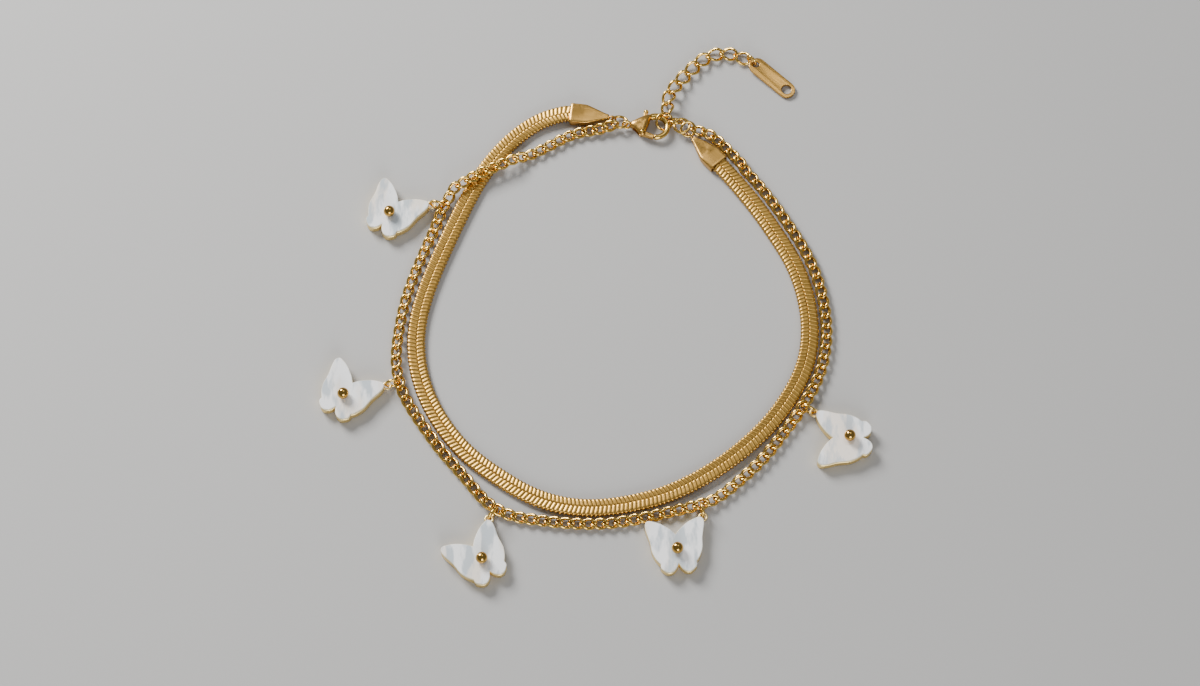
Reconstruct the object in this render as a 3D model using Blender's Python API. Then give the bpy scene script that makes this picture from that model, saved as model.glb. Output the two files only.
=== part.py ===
"""Layered butterfly bracelet: a flat herringbone band and a curb chain on one lobster clasp,
five shell butterflies hung from the chain, and an extender chain that ends in a small tag.

Sizes are in millimetres and become metres where a mesh is made. The bracelet lies on z = 0,
with +X to the right and +Y away from the wearer's view, and its box is centred on the origin.
"""

import bpy
import numpy as np

MM = 0.001

# Herringbone band
BAND_WIDTH = 3.0
BAND_THICKNESS = 1.0
BAND_EDGE_SHARE = 0.78
BAND_SECTIONS = 46
BAND_RISE_LENGTH = 8.0

# Curb chain
CURB_PITCH = 1.8
CURB_WIDTH = 2.0
CURB_WIRE = 0.42
CURB_PLAY = 0.12
CURB_TWIST = 45.0
LOOSE_STRETCH = 0.1
LINK_SIDES = 10
WIRE_SIDES = 5
CROSSING_REACH = 5.5
CROSSING_RAMP = 3.0

# Extender chain
EXTENDER_LENGTH = 3.3
EXTENDER_WIDTH = 2.5
EXTENDER_WIRE = 0.36
EXTENDER_LINKS = 9
EXTENDER_FIRST_ROLL = -0.6

# Rings and eyes
RING_WIRE = 0.36
EYE_RADIUS = 0.58
EYE_WIRE = 0.36
RING_SIDES = 12
TAG_RING_RADIUS = 0.9
CHARM_RING_RADIUS = 1.1
CHARM_REACH = 2.05
CHARM_LIFT = 0.95
EYE_HEIGHT = 0.72

# End caps
CAP_LENGTH = 6.4
CAP_WALL = 0.2
CAP_POCKET = 2.6
CAP_NOSE_WIDTH = 1.0
CAP_NOSE_THICKNESS = 0.8
CAP_HEADINGS = (-6.2, 131.3)

# Lobster clasp, measured from the middle of its hook
CLASP_HEIGHT = 1.0
HOOK_RADIUS = 1.87
HOOK_WIRE = 0.88
BODY_THICKNESS = 1.9
LEVER_THICKNESS = 0.7
PIN_RADIUS = 0.27
NUB_RADIUS = 0.42
TAIL_EYE_RADIUS = 0.64
TAIL_EYE_WIRE = 0.42
CLASP_PLACE = (9.22, 38.62)
TAIL_EYE = (-4.8, 0.38)
TAIL_EYE_TILT = 64.0
HOOK_START = 112.0
HOOK_END = -93.0
PIVOT = (-2.25, -1.2)
NUB = (-1.57, 2.75)

# Tag
TAG_LENGTH = 9.3
TAG_WIDTH = 2.9
TAG_THICKNESS = 0.5
TAG_NEAR_HOLE = 0.62
TAG_FAR_HOLE = 0.85
TAG_NEAR_HOLE_PLACE = -3.6
TAG_FAR_HOLE_PLACE = 3.2
TAG_HEADING = -42.4
TAG_PLACE = (28.66, 48.07)
TAG_RISE = 0.5

# Butterflies
WING_SPAN = 9.2
WING_HEIGHT = 8.65
BACKING_THICKNESS = 1.2
SHELL_THICKNESS = 0.55
CENTRE_BALL = 1.65
PIN_STEM = 0.7
STEM_SIDES = 8

FLOOR_GAP = 0.02
GAP = 0.08
CHAIN_CLEARANCE = 0.18

# Middle of the band, from the left cap's mouth round to the right cap's mouth
BAND_ROUTE = [
    (-4.8, 41.15), (-6.9, 40.9), (-9.6, 39.95), (-12.1, 38.4), (-16.4, 34.1), (-19.75, 29.1), (-22.25, 23.9),
    (-24.4, 18.75), (-26.4, 13.6), (-28.2, 8.1), (-29.3, 2.2), (-29.05, -3.9), (-27.3, -9.8),
    (-24.4, -15.0), (-20.6, -19.5), (-16.1, -23.05), (-11.35, -26.0), (-6.2, -27.85),
    (-0.8, -28.35), (4.5, -27.7), (9.6, -26.35), (14.35, -24.2), (18.8, -21.4), (23.0, -18.0),
    (26.9, -14.0), (30.2, -9.3), (32.7, -3.85), (33.6, 2.2), (33.0, 8.2), (31.25, 13.9),
    (28.65, 18.9), (25.8, 23.6), (22.65, 28.0), (19.5, 31.8),
]

# Middle of the curb chain, from its ring at the clasp round to its ring at the extender
CHAIN_ROUTE = [
    (1.7, 38.72), (-0.1, 38.2), (-1.9, 37.95), (-4.75, 37.2), (-8.9, 34.9), (-13.1, 32.8),
    (-17.45, 30.7), (-20.6, 29.1), (-23.4, 27.0), (-25.4, 24.0), (-26.8, 20.0), (-28.9, 14.3),
    (-30.9, 8.4), (-32.1, 2.0), (-32.3, -4.9), (-31.2, -9.0), (-28.35, -14.0), (-24.6, -19.2),
    (-20.5, -24.1), (-16.8, -28.2), (-14.6, -29.4), (-9.9, -30.4), (-4.0, -31.0), (1.9, -30.9),
    (7.5, -29.9), (13.0, -28.6), (17.3, -27.3), (20.9, -24.7), (25.3, -20.5), (29.0, -15.7),
    (32.2, -10.7), (34.6, -6.5), (35.9, -1.4), (36.1, 5.2), (34.7, 11.6), (32.3, 17.4),
    (29.3, 22.6), (26.1, 27.5), (22.5, 32.1), (19.6, 36.0), (17.96, 37.32), (16.22, 37.83),
]

# Middle of the extender, from the link on the hook's ring to the link on the tag's ring
EXTENDER_ROUTE = [
    (11.18, 41.62, 1.39), (11.35, 43.8, 1.15), (12.3, 45.9, 0.9), (13.7, 47.8, 0.72),
    (15.3, 49.6, 0.66), (17.0, 51.3, 0.66), (19.0, 52.35, 0.66), (21.4, 52.6, 0.66),
    (23.75, 51.85, 0.7),
]
EXTENDER_START_HEADING = 90.0
EXTENDER_START_CLIMB = -0.1
EXTENDER_END_HEADING = -26.0

# Height of the curb chain's first and last links on their rings, and the first one's roll
LEFT_CHAIN_HEIGHT = 1.11
LEFT_CHAIN_ROLL = -0.57
RIGHT_CHAIN_HEIGHT = 1.02

# Plain rings: name, centre, heading, tilt from level, radius of the wire's middle
RINGS = [
    ("clasp_ring", (3.2, 39.54, 0.95), -9.8, -19.4, 1.34),
    ("hook_ring", (10.64, 39.56, 1.1), 33.5, 36.1, 1.38),
    ("end_ring_1", (12.52, 39.71, 0.99), -10.9, -45.4, 1.1),
    ("end_ring_2", (13.53, 38.62, 1.37), -71.2, -0.4, 1.26),
    ("end_ring_3", (14.55, 38.09, 1.2), 9.6, 30.5, 1.16),
]

# Eyes on the noses of the left and right caps: centre and tilt
CAP_EYES = [((2.0, 40.09, 0.83), 61.2), ((14.91, 37.04, 0.77), -108.6)]

# Outlines of the clasp in plan, anticlockwise
CLASP_BODY = [
    (-4.3, 0.05), (-3.4, -0.75), (-2.75, -1.6), (-2.4, -1.8), (-1.95, -1.8), (-1.75, -1.15),
    (-0.75, 1.5), (-0.45, 2.1), (-1.0, 2.25), (-2.0, 1.95), (-3.1, 1.4), (-4.1, 0.85), (-4.4, 0.45),
]
SLOT = [(-3.75, -3.2), (-0.9, -3.2), (-0.9, 1.2), (-1.05, 1.5), (-1.05, 3.6), (-3.75, 3.6)]
LEVER = [
    (-2.6, -1.45), (-2.3, -1.66), (-0.49, -2.31), (-0.22, -1.65), (-1.72, -0.98), (-1.86, -0.5),
    (-1.35, 2.6), (-1.9, 2.65), (-2.41, -0.5), (-2.62, -1.0),
]

# Each butterfly: place of its eye, and which way its head points
BUTTERFLIES = [
    (-27.2, 24.2, 58.0),
    (-32.9, -7.5, 58.0),
    (-17.6, -29.7, 123.0),
    (15.9, -30.1, 95.5),
    (33.2, -11.5, 180.0),
]

# Right half of a butterfly, head to tail: shares of the half span and of the height
WING = [
    (0.0, 0.30), (0.35, 0.475), (0.72, 0.575), (0.93, 0.585), (1.0, 0.47),
    (0.87, 0.05), (0.60, -0.24), (0.59, -0.34), (0.40, -0.41), (0.19, -0.385), (0.0, -0.255),
]
WING_EYE = (1.0, 0.62)

# Sections of an end cap from mouth to nose: shares of its length, half width and half thickness
CAP_SECTIONS = [(0.0, 1.0, 1.0), (0.36, 1.0, 1.0), (0.44, 0.93, 0.9), (0.92, 0.0, 0.25), (1.0, -0.1, 0.0)]


def spline(points, directions=None, step=0.1):
    """A cubic through the points, with its ends along the two directions where they are given."""
    points = np.array(points, float)
    count = len(points)
    knots = np.r_[0, np.cumsum(np.linalg.norm(np.diff(points, axis=0), axis=1))]
    gap = np.diff(knots)
    slope = np.diff(points, axis=0) / gap[:, None]
    system = np.eye(count)
    right = np.zeros_like(points)
    for i in range(1, count - 1):
        system[i, i - 1:i + 2] = gap[i - 1], 2 * (gap[i - 1] + gap[i]), gap[i]
        right[i] = 6 * (slope[i] - slope[i - 1])
    if directions is not None:
        system[0, :2] = 2 * gap[0], gap[0]
        right[0] = 6 * (slope[0] - directions[0])
        system[-1, -2:] = gap[-1], 2 * gap[-1]
        right[-1] = 6 * (directions[1] - slope[-1])
    bend = np.linalg.solve(system, right)
    s = np.linspace(0, knots[-1], int(knots[-1] / step) + 2)
    k = np.clip(np.searchsorted(knots, s, side="right") - 1, 0, count - 2)
    x = (s - knots[k])[:, None]
    h = gap[k][:, None]
    linear = slope[k] - h * (2 * bend[k] + bend[k + 1]) / 6
    return points[k] + x * linear + x ** 2 * bend[k] / 2 + x ** 3 * (bend[k + 1] - bend[k]) / (6 * h)


def lengths(path):
    return np.r_[0, np.cumsum(np.linalg.norm(np.diff(path, axis=0), axis=1))]


def resample(path, stations):
    """Points of the path, and its directions there, at these distances along it."""
    along = lengths(path)
    columns = np.column_stack([path, directions_of(path)]).T
    both = np.stack([np.interp(stations, along, column) for column in columns], axis=1)
    size = path.shape[1]
    return both[:, :size], both[:, size:]


def directions_of(path):
    step = np.gradient(path, axis=0)
    return step / np.linalg.norm(step, axis=1, keepdims=True)


def smooth_step(x):
    x = np.clip(x, 0, 1)
    return x * x * (3 - 2 * x)


def heading(degrees, climb=0.0):
    angle = np.radians(degrees)
    direction = np.array([np.cos(angle), np.sin(angle), climb])
    return direction / np.linalg.norm(direction)


def ring_curve(centre, degrees, tilt, radius, count):
    """A circle that holds the level line at this heading, and leans from level by the tilt."""
    t = 2 * np.pi * (np.arange(count) + 0.5) / count
    along = heading(degrees)
    left = np.array([-along[1], along[0], 0])
    up = left * np.cos(np.radians(tilt)) + np.array([0, 0, np.sin(np.radians(tilt))])
    return np.array(centre) + radius * (np.cos(t)[:, None] * along + np.sin(t)[:, None] * up)


def link_curve(centre, along, half_length, half_width, roll=0.0, count=LINK_SIDES):
    """A curb link: an oval twisted about its own length, by CURB_TWIST from its middle to each end."""
    t = 2 * np.pi * (np.arange(count) + 0.5) / count
    along = np.array(along, float) / np.linalg.norm(along)
    side = np.cross([0, 0, 1], along)
    side = side / np.linalg.norm(side)
    lift = np.cross(along, side)
    side, lift = side * np.cos(roll) + lift * np.sin(roll), lift * np.cos(roll) - side * np.sin(roll)
    x = half_length * np.cos(t)
    y = half_width * np.sin(t)
    twist = np.radians(CURB_TWIST) * np.cos(t)
    return (np.array(centre) + x[:, None] * along + (y * np.cos(twist))[:, None] * side
            + (y * np.sin(twist))[:, None] * lift)


def wire_round(curve, wire):
    """Points of a wire carried round a closed curve, with one flat of the wire facing its middle."""
    centre = curve.mean(axis=0)
    forward = np.roll(curve, -1, axis=0) - np.roll(curve, 1, axis=0)
    forward /= np.linalg.norm(forward, axis=1, keepdims=True)
    inward = centre - curve
    inward -= (inward * forward).sum(axis=1, keepdims=True) * forward
    inward /= np.linalg.norm(inward, axis=1, keepdims=True)
    side = np.cross(forward, inward)
    angle = 2 * np.pi * (np.arange(WIRE_SIDES) + 0.5) / WIRE_SIDES
    spoke = np.cos(angle)[None, :, None] * inward[:, None] + np.sin(angle)[None, :, None] * side[:, None]
    return curve[:, None] + wire / 2 * spoke


def grid_faces(rows, columns, closed):
    """Quads between the rows of a grid whose columns close up, and whose rows may."""
    i = np.arange(rows if closed else rows - 1)[:, None]
    j = np.arange(columns)[None]
    nxt = (i + 1) % rows
    side = (j + 1) % columns
    quads = np.stack([i * columns + j, i * columns + side, nxt * columns + side, nxt * columns + j], axis=2)
    return [tuple(int(v) for v in quad) for quad in quads.reshape(-1, 4)]


def volume_of(points, faces):
    total = 0.0
    for face in faces:
        for a, b in zip(face[1:-1], face[2:]):
            total += np.dot(points[face[0]], np.cross(points[a], points[b]))
    return total / 6


def mesh_of(name, points, faces):
    """A mesh in metres from points in millimetres, with its faces outwards."""
    points = np.asarray(points, float).reshape(-1, 3)
    if volume_of(points - points.mean(axis=0), faces) < 0:
        faces = [tuple(reversed(face)) for face in faces]
    mesh = bpy.data.meshes.new(name)
    mesh.from_pydata((points * MM).tolist(), [], faces)
    mesh.validate()
    return mesh


def loop_mesh(name, curve, wire):
    points = wire_round(curve, wire)
    return mesh_of(name, points, grid_faces(len(curve), WIRE_SIDES, True))


def loft_mesh(name, sections):
    """Closed solid through equal sections, with a flat face at each end."""
    sections = np.array(sections)
    rows, columns = sections.shape[:2]
    faces = grid_faces(rows, columns, False)
    faces.append(tuple(reversed(range(columns))))
    faces.append(tuple((rows - 1) * columns + j for j in range(columns)))
    return mesh_of(name, sections, faces)


def inset(outline, distance):
    """The outline moved inwards along the normal at each point."""
    outline = np.array(outline, float)
    step = np.roll(outline, -1, axis=0) - np.roll(outline, 1, axis=0)
    normal = np.stack([-step[:, 1], step[:, 0]], axis=1)
    return outline + distance * normal / np.linalg.norm(normal, axis=1, keepdims=True)


def prism_mesh(name, outline, levels):
    """An anticlockwise outline carried up through (height, inset) levels."""
    sections = [np.column_stack([inset(outline, cut), np.full(len(outline), z)]) for z, cut in levels]
    return loft_mesh(name, sections)


def round_mesh(name, centre, radius, low, high, count=LINK_SIDES):
    t = 2 * np.pi * np.arange(count) / count
    outline = np.column_stack([centre[0] + radius * np.cos(t), centre[1] + radius * np.sin(t)])
    return prism_mesh(name, outline, [(low, 0), (high, 0)])


def combined(mesh, other, operation):
    """The mesh after an exact boolean with the other one."""
    base = bpy.data.objects.new("base", mesh)
    tool = bpy.data.objects.new("tool", other)
    for obj in (base, tool):
        bpy.context.scene.collection.objects.link(obj)
    tool.hide_render = True
    modifier = base.modifiers.new("combine", "BOOLEAN")
    modifier.operation = operation
    modifier.object = tool
    graph = bpy.context.evaluated_depsgraph_get()
    result = bpy.data.meshes.new_from_object(base.evaluated_get(graph))
    result.name = mesh.name
    bpy.data.objects.remove(base)
    bpy.data.objects.remove(tool)
    return result


def finish(name, colour, metallic, roughness):
    material = bpy.data.materials.new(name)
    material.use_nodes = True
    shader = material.node_tree.nodes["Principled BSDF"]
    shader.inputs["Base Color"].default_value = (*colour, 1)
    shader.inputs["Metallic"].default_value = metallic
    shader.inputs["Roughness"].default_value = roughness
    material.diffuse_color = (*colour, 1)
    return material


class Bracelet:
    """Holds the origin and the finishes, and places each piece under the origin."""

    def __init__(self):
        self.origin = bpy.data.objects.new("bracelet_origin", None)
        bpy.context.scene.collection.objects.link(self.origin)
        self.finishes = {
            "polished": finish("polished_gold", (0.83, 0.58, 0.22), 1.0, 0.22),
            "brushed": finish("brushed_gold", (0.80, 0.58, 0.27), 1.0, 0.42),
            "woven": finish("woven_gold", (0.80, 0.56, 0.22), 1.0, 0.32),
            "shell": finish("white_shell", (0.90, 0.90, 0.88), 0.0, 0.25),
        }

    def place(self, name, mesh, look, location=(0, 0, 0), turn=0.0):
        """Adds the piece under its plain name, with a material of its own."""
        obj = bpy.data.objects.new(name, mesh)
        bpy.context.scene.collection.objects.link(obj)
        obj.parent = self.origin
        obj.location = np.array(location) * MM
        obj.rotation_euler[2] = np.radians(turn)
        if not mesh.materials:
            material = self.finishes[look].copy()
            material.name = name + "_finish"
            mesh.materials.append(material)
        mesh.shade_smooth()
        mesh.set_sharp_from_angle(angle=np.radians(50))
        return obj

    def centre(self):
        """Moves the origin, so that the middle of the box's foot is at the world's origin."""
        bpy.context.view_layer.update()
        corners = np.array([
            obj.matrix_world @ vertex.co
            for obj in self.origin.children for vertex in obj.data.vertices
        ])
        low, high = corners.min(axis=0), corners.max(axis=0)
        self.origin.location = (-(low[0] + high[0]) / 2, -(low[1] + high[1]) / 2, -low[2])
        bpy.context.view_layer.update()


def band_path():
    """Middle of the band with straight ends inside its two caps, and each cap's mouth and direction."""
    left_axis = heading(CAP_HEADINGS[0])
    right_axis = heading(CAP_HEADINGS[1])
    flat = spline(BAND_ROUTE, (-left_axis[:2], right_axis[:2]))
    path = np.column_stack([flat, np.zeros(len(flat))])
    along = lengths(path)
    to_mouth = np.minimum(along, along[-1] - along)
    rise = cap_height() - BAND_THICKNESS / 2
    path[:, 2] = BAND_THICKNESS / 2 + rise * (1 - smooth_step(to_mouth / BAND_RISE_LENGTH))
    inside = CAP_POCKET - GAP
    ends = path[0] + inside * left_axis, path[-1] + inside * right_axis
    return np.vstack([ends[0], path, ends[1]]), (path[0], left_axis), (path[-1], right_axis)


def cap_height():
    return BAND_THICKNESS / 2 + GAP + CAP_WALL + FLOOR_GAP


def strip():
    """The band and the outsides of its caps as one line, with the half width at each point."""
    path, left, right = band_path()
    steps = np.linspace(1, 0, 30)[:-1, None]
    left_part = left[0] + steps * CAP_LENGTH * left[1]
    right_part = right[0] + steps[::-1] * CAP_LENGTH * right[1]
    middle = path[1:-1]
    along = lengths(middle)
    to_mouth = np.minimum(along, along[-1] - along)
    middle_half = np.where(to_mouth < CURB_WIDTH, cap_half_width(1), BAND_WIDTH / 2)
    share = [row[0] for row in CAP_SECTIONS]
    width = [cap_half_width(row[1]) for row in CAP_SECTIONS]
    half_left = np.interp(steps[:, 0], share, width)
    half = np.r_[half_left, middle_half, half_left[::-1]]
    return np.vstack([left_part, middle, right_part]), half


def cap_half_width(share):
    widest = BAND_WIDTH / 2 + GAP + CAP_WALL
    taper = max(share, 0) * (widest - CAP_NOSE_WIDTH / 2) + min(share, 0) * CAP_NOSE_WIDTH
    return CAP_NOSE_WIDTH / 2 + taper


def herringbone_band():
    path, _, _ = band_path()
    total = lengths(path)[-1]
    inside = CAP_POCKET - GAP
    between_mouths = np.linspace(inside, total - inside, BAND_SECTIONS - 2)
    path, forward = resample(path, np.r_[0, between_mouths, total])
    side = np.cross([0, 0, 1], forward)
    side /= np.linalg.norm(side, axis=1, keepdims=True)
    up = np.cross(forward, side)
    half, thick, flat = BAND_WIDTH / 2, BAND_THICKNESS / 2, BAND_EDGE_SHARE * BAND_WIDTH / 2
    profile = [(half, 0), (flat, thick), (-flat, thick), (-half, 0), (-flat, -thick), (flat, -thick)]
    sections = [path + y * side + z * up for y, z in profile]
    return loft_mesh("herringbone_band", np.stack(sections, axis=1))


def end_cap(name, mouth, axis, eye_place, eye_tilt):
    """A flat sleeve with a shoulder that tapers to a nose, open at its mouth for the band,
    with a wire eye soldered to the nose."""
    side = np.cross([0, 0, 1], axis)
    half_thick = BAND_THICKNESS / 2 + GAP + CAP_WALL
    corners = [(1, -0.4), (1, 0.4), (0.75, 1), (-0.75, 1), (-1, 0.4), (-1, -0.4), (-0.75, -1), (0.75, -1)]

    def section(station, wide, thick):
        middle = mouth + station * axis
        return [middle + y * wide * side + np.array([0, 0, z * thick]) for y, z in corners]

    pocket_wide, pocket_thick = BAND_WIDTH / 2 + GAP, BAND_THICKNESS / 2 + GAP
    rows = [section(CAP_POCKET, pocket_wide, pocket_thick), section(-GAP, pocket_wide, pocket_thick)]
    for share, wide, thick in CAP_SECTIONS:
        thickness = CAP_NOSE_THICKNESS / 2 + thick * (half_thick - CAP_NOSE_THICKNESS / 2)
        rows.append(section(share * CAP_LENGTH - GAP, cap_half_width(wide), thickness))
    sleeve = loft_mesh(name, rows)
    degrees = np.degrees(np.arctan2(axis[1], axis[0]))
    eye = loop_mesh("eye", ring_curve(eye_place, degrees, eye_tilt, EYE_RADIUS, LINK_SIDES), EYE_WIRE)
    return combined(sleeve, eye, "UNION")


def curb_half_length():
    return (CURB_PITCH + CURB_WIRE + CURB_PLAY) / 2


def curb_half_width():
    return (CURB_WIDTH - CURB_WIRE) / 2


def curb_half_thickness():
    curve = link_curve((0, 0, 0), (1, 0, 0), curb_half_length(), curb_half_width(), count=90)
    return curve[:, 2].max() + CURB_WIRE / 2


def chain_path():
    """Middle of the curb chain: it crosses over the band once, then lies along its outer side."""
    path = spline(CHAIN_ROUTE)
    line, half = strip()
    away = np.linalg.norm(path[:, None] - line[None, :, :2], axis=2)
    nearest = away.argmin(axis=1)
    forward = directions_of(line[:, :2])[nearest]
    outward = np.column_stack([forward[:, 1], -forward[:, 0]])
    offset = ((path - line[nearest, :2]) * outward).sum(axis=1)
    along = lengths(path)
    crossing = along[np.argmax(offset > 0)]
    from_crossing = np.abs(along - crossing)
    needed = half[nearest] + CURB_WIDTH / 2 + CHAIN_CLEARANCE
    side = np.where(along < crossing, -1.0, 1.0)
    short = np.maximum(needed - side * offset, 0) * smooth_step((from_crossing - CROSSING_REACH) / 1.5 + 1)
    path = path + (short * side)[:, None] * outward
    low = curb_half_thickness() + FLOOR_GAP
    over = BAND_THICKNESS + curb_half_thickness() + GAP
    inside_ramp = (CROSSING_REACH + CROSSING_RAMP - from_crossing) / CROSSING_RAMP
    height = low + (over - low) * smooth_step(inside_ramp)
    along = lengths(path)
    for place in BUTTERFLIES:
        station = along[np.linalg.norm(path - np.array(place[:2]), axis=1).argmin()]
        lift = low + (CHARM_LIFT - low) * np.exp(-((along - station) / CURB_PITCH / 1.3) ** 2)
        height = np.maximum(height, lift)
    ends = low + (LEFT_CHAIN_HEIGHT - low) * np.exp(-(along / CURB_PITCH / 1.6) ** 2)
    height = np.maximum(height, ends)
    ends = low + (RIGHT_CHAIN_HEIGHT - low) * np.exp(-((along[-1] - along) / CURB_PITCH / 1.6) ** 2)
    height = np.maximum(height, ends)
    return np.column_stack([path, height])


def chain_links():
    """Centre, direction and roll of each link of the curb chain."""
    path = chain_path()
    total = lengths(path)[-1]
    count = int(round(total / CURB_PITCH)) + 1
    stations = np.linspace(0, total, count)
    centres, _ = resample(path, stations)
    forward = directions_of(centres)
    roll = LEFT_CHAIN_ROLL * np.exp(-(stations / CURB_PITCH / 1.8) ** 2)
    return centres, forward, roll


def joined(end, start):
    """Quads that join the flat at a link's far end to the flat at the next link's near end."""
    (points_a, a), (points_b, b) = end, start
    b = b[::-1]
    turns = [b[k:] + b[:k] for k in range(4)]
    near = min(turns, key=lambda turn: np.linalg.norm(points_a[a] - points_b[turn], axis=1).sum())
    return [(a[i], a[(i + 1) % 4], near[(i + 1) % 4], near[i]) for i in range(4)]


def chain_mesh(name, centres, forward, roll):
    """Curb links, each joined to the next where their wires bear on each other.
    The end links, which hang loose in what comes next, are a little longer."""
    points = []
    faces = []
    half = LINK_SIDES // 2
    last = WIRE_SIDES - 1
    for k in range(len(centres)):
        half_length = curb_half_length() + (LOOSE_STRETCH if k in (0, len(centres) - 1) else 0)
        curve = link_curve(centres[k], forward[k], half_length, curb_half_width(), roll[k])
        wire = wire_round(curve, CURB_WIRE).reshape(-1, 3)
        base = k * LINK_SIDES * WIRE_SIDES
        quads = grid_faces(LINK_SIDES, WIRE_SIDES, True)
        far = next(q for q in quads if set(q) == corner_set(LINK_SIDES - 1, 0, last))
        near = next(q for q in quads if set(q) == corner_set(half - 1, half, last))
        if k < len(centres) - 1:
            quads.remove(far)
        if k > 0:
            quads.remove(near)
        faces += [tuple(base + v for v in quad) for quad in quads]
        points.append(wire)
        if k > 0:
            everything = np.vstack(points)
            faces += joined((everything, previous_far), (everything, [base + v for v in near]))
        previous_far = [base + v for v in far]
    return mesh_of(name, np.vstack(points), faces)


def corner_set(row, next_row, last):
    return {row * WIRE_SIDES, row * WIRE_SIDES + last, next_row * WIRE_SIDES, next_row * WIRE_SIDES + last}


def extender_half_length():
    return (EXTENDER_LENGTH - EXTENDER_WIRE) / 2


def extender_links():
    """Centre, direction and roll of each link of the extender, from the hook's ring to the tag."""
    ends = heading(EXTENDER_START_HEADING, EXTENDER_START_CLIMB), heading(EXTENDER_END_HEADING)
    path = spline(EXTENDER_ROUTE, ends)
    total = lengths(path)[-1]
    stations = np.linspace(0, total, EXTENDER_LINKS)
    centres, forward = resample(path, stations)
    roll = np.interp(np.arange(EXTENDER_LINKS), [0, 3], [EXTENDER_FIRST_ROLL, 0])
    return centres, forward, roll


def clasp_body():
    """A flaring body slotted for its lever, drawn out into the hook, with an eye at its tail."""
    half = BODY_THICKNESS / 2
    body = prism_mesh("clasp_body", CLASP_BODY, [
        (CLASP_HEIGHT - half, 0.35), (CLASP_HEIGHT - half * 0.55, 0), (CLASP_HEIGHT + half * 0.55, 0),
        (CLASP_HEIGHT + half, 0.35),
    ])
    angle = np.radians(np.linspace(HOOK_START, HOOK_END, 12))
    spoke = np.column_stack([np.cos(angle), np.sin(angle), np.zeros(len(angle))])
    turn = 2 * np.pi * (np.arange(8) + 0.5) / 8
    wire = HOOK_WIRE / 2 / np.cos(np.pi / 8)
    sections = [
        np.array([0, 0, CLASP_HEIGHT]) + np.outer(HOOK_RADIUS + wire * np.cos(turn), one)
        + np.outer(wire * np.sin(turn), [0, 0, 1]) for one in spoke
    ]
    hook = loft_mesh("hook", sections)
    eye = ring_curve(TAIL_EYE + (CLASP_HEIGHT,), 0, TAIL_EYE_TILT, TAIL_EYE_RADIUS, RING_SIDES)
    tail = loop_mesh("tail", eye, TAIL_EYE_WIRE)
    slot_half = LEVER_THICKNESS / 2 + GAP
    slot = prism_mesh("slot", SLOT, [(CLASP_HEIGHT - slot_half, 0), (CLASP_HEIGHT + slot_half, 0)])
    below, above = CLASP_HEIGHT - BODY_THICKNESS, CLASP_HEIGHT + BODY_THICKNESS
    hole = round_mesh("hole", PIVOT, PIN_RADIUS + GAP, below, above)
    body = combined(body, hook, "UNION")
    body = combined(body, slot, "DIFFERENCE")
    body = combined(body, hole, "DIFFERENCE")
    return combined(body, tail, "UNION")


def clasp_lever():
    """The lever, measured from its pivot: a gate that closes the hook, and an arm up to the thumb nub."""
    half = LEVER_THICKNESS / 2
    lever = prism_mesh("clasp_lever", np.array(LEVER) - PIVOT, [(-half, 0), (half, 0)])
    nub = round_mesh("nub", np.array(NUB) - PIVOT, NUB_RADIUS, -half * 1.3, half * 1.3)
    hole = round_mesh("hole", (0, 0), PIN_RADIUS + GAP, -1, 1)
    return combined(combined(lever, nub, "UNION"), hole, "DIFFERENCE")


def tag_mesh():
    """A flat plate with round ends and a hole at each."""
    reach = TAG_LENGTH / 2 - TAG_WIDTH / 2
    angle = np.radians(np.linspace(-90, 90, 9))
    right = np.column_stack([reach + TAG_WIDTH / 2 * np.cos(angle), TAG_WIDTH / 2 * np.sin(angle)])
    outline = np.vstack([right, -right])
    plate = prism_mesh("tag", outline, [(0, 0), (TAG_THICKNESS, 0)])
    near = round_mesh("near", (TAG_NEAR_HOLE_PLACE, 0), TAG_NEAR_HOLE, -1, TAG_THICKNESS + 1)
    far = round_mesh("far", (TAG_FAR_HOLE_PLACE, 0), TAG_FAR_HOLE, -1, TAG_THICKNESS + 1)
    return combined(combined(plate, near, "DIFFERENCE"), far, "DIFFERENCE")


def wing_outline():
    """Anticlockwise outline of the butterfly from the shares of its right half."""
    right = np.array(WING) * (WING_SPAN / 2, WING_HEIGHT)
    left = right[1:-1] * (-1, 1)
    return np.vstack([right[::-1], left])


def butterfly_meshes():
    """Gold backing with its soldered eye and ball-headed stem, and the shell plate held under the ball."""
    outline = wing_outline()
    hole = round_mesh("hole", (0, 0), PIN_STEM / 2 + GAP, -1, 4, STEM_SIDES)
    backing = prism_mesh("backing", outline, [(FLOOR_GAP, 0), (FLOOR_GAP + BACKING_THICKNESS, 0)])
    eye_place = np.array(WING_EYE) * (WING_SPAN / 2, WING_HEIGHT)
    eye = loop_mesh("eye", ring_curve((*eye_place, EYE_HEIGHT), 45, 0, EYE_RADIUS, LINK_SIDES), EYE_WIRE)
    backing = combined(backing, eye, "UNION")
    low = FLOOR_GAP + BACKING_THICKNESS + GAP / 2
    shell = prism_mesh("shell", outline, [(low, 0), (low + SHELL_THICKNESS, 0)])
    shell = combined(shell, hole, "DIFFERENCE")
    top = low + SHELL_THICKNESS
    radius = CENTRE_BALL / 2
    rise = np.sqrt(radius ** 2 - (PIN_STEM / 2) ** 2)
    seat = top + GAP / 2 + rise
    rows = [(BACKING_THICKNESS / 2, PIN_STEM / 2), (seat - rise, PIN_STEM / 2)]
    rows += [(seat + radius * np.sin(a), radius * np.cos(a)) for a in np.radians([-38, 0, 35, 68])]
    turn = 2 * np.pi * np.arange(STEM_SIDES) / STEM_SIDES
    circle = np.column_stack([np.cos(turn), np.sin(turn), np.zeros(STEM_SIDES)])
    stem = loft_mesh("stem", [wide * circle + np.array([0, 0, z]) for z, wide in rows])
    return combined(backing, stem, "UNION"), shell, eye_place


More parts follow.
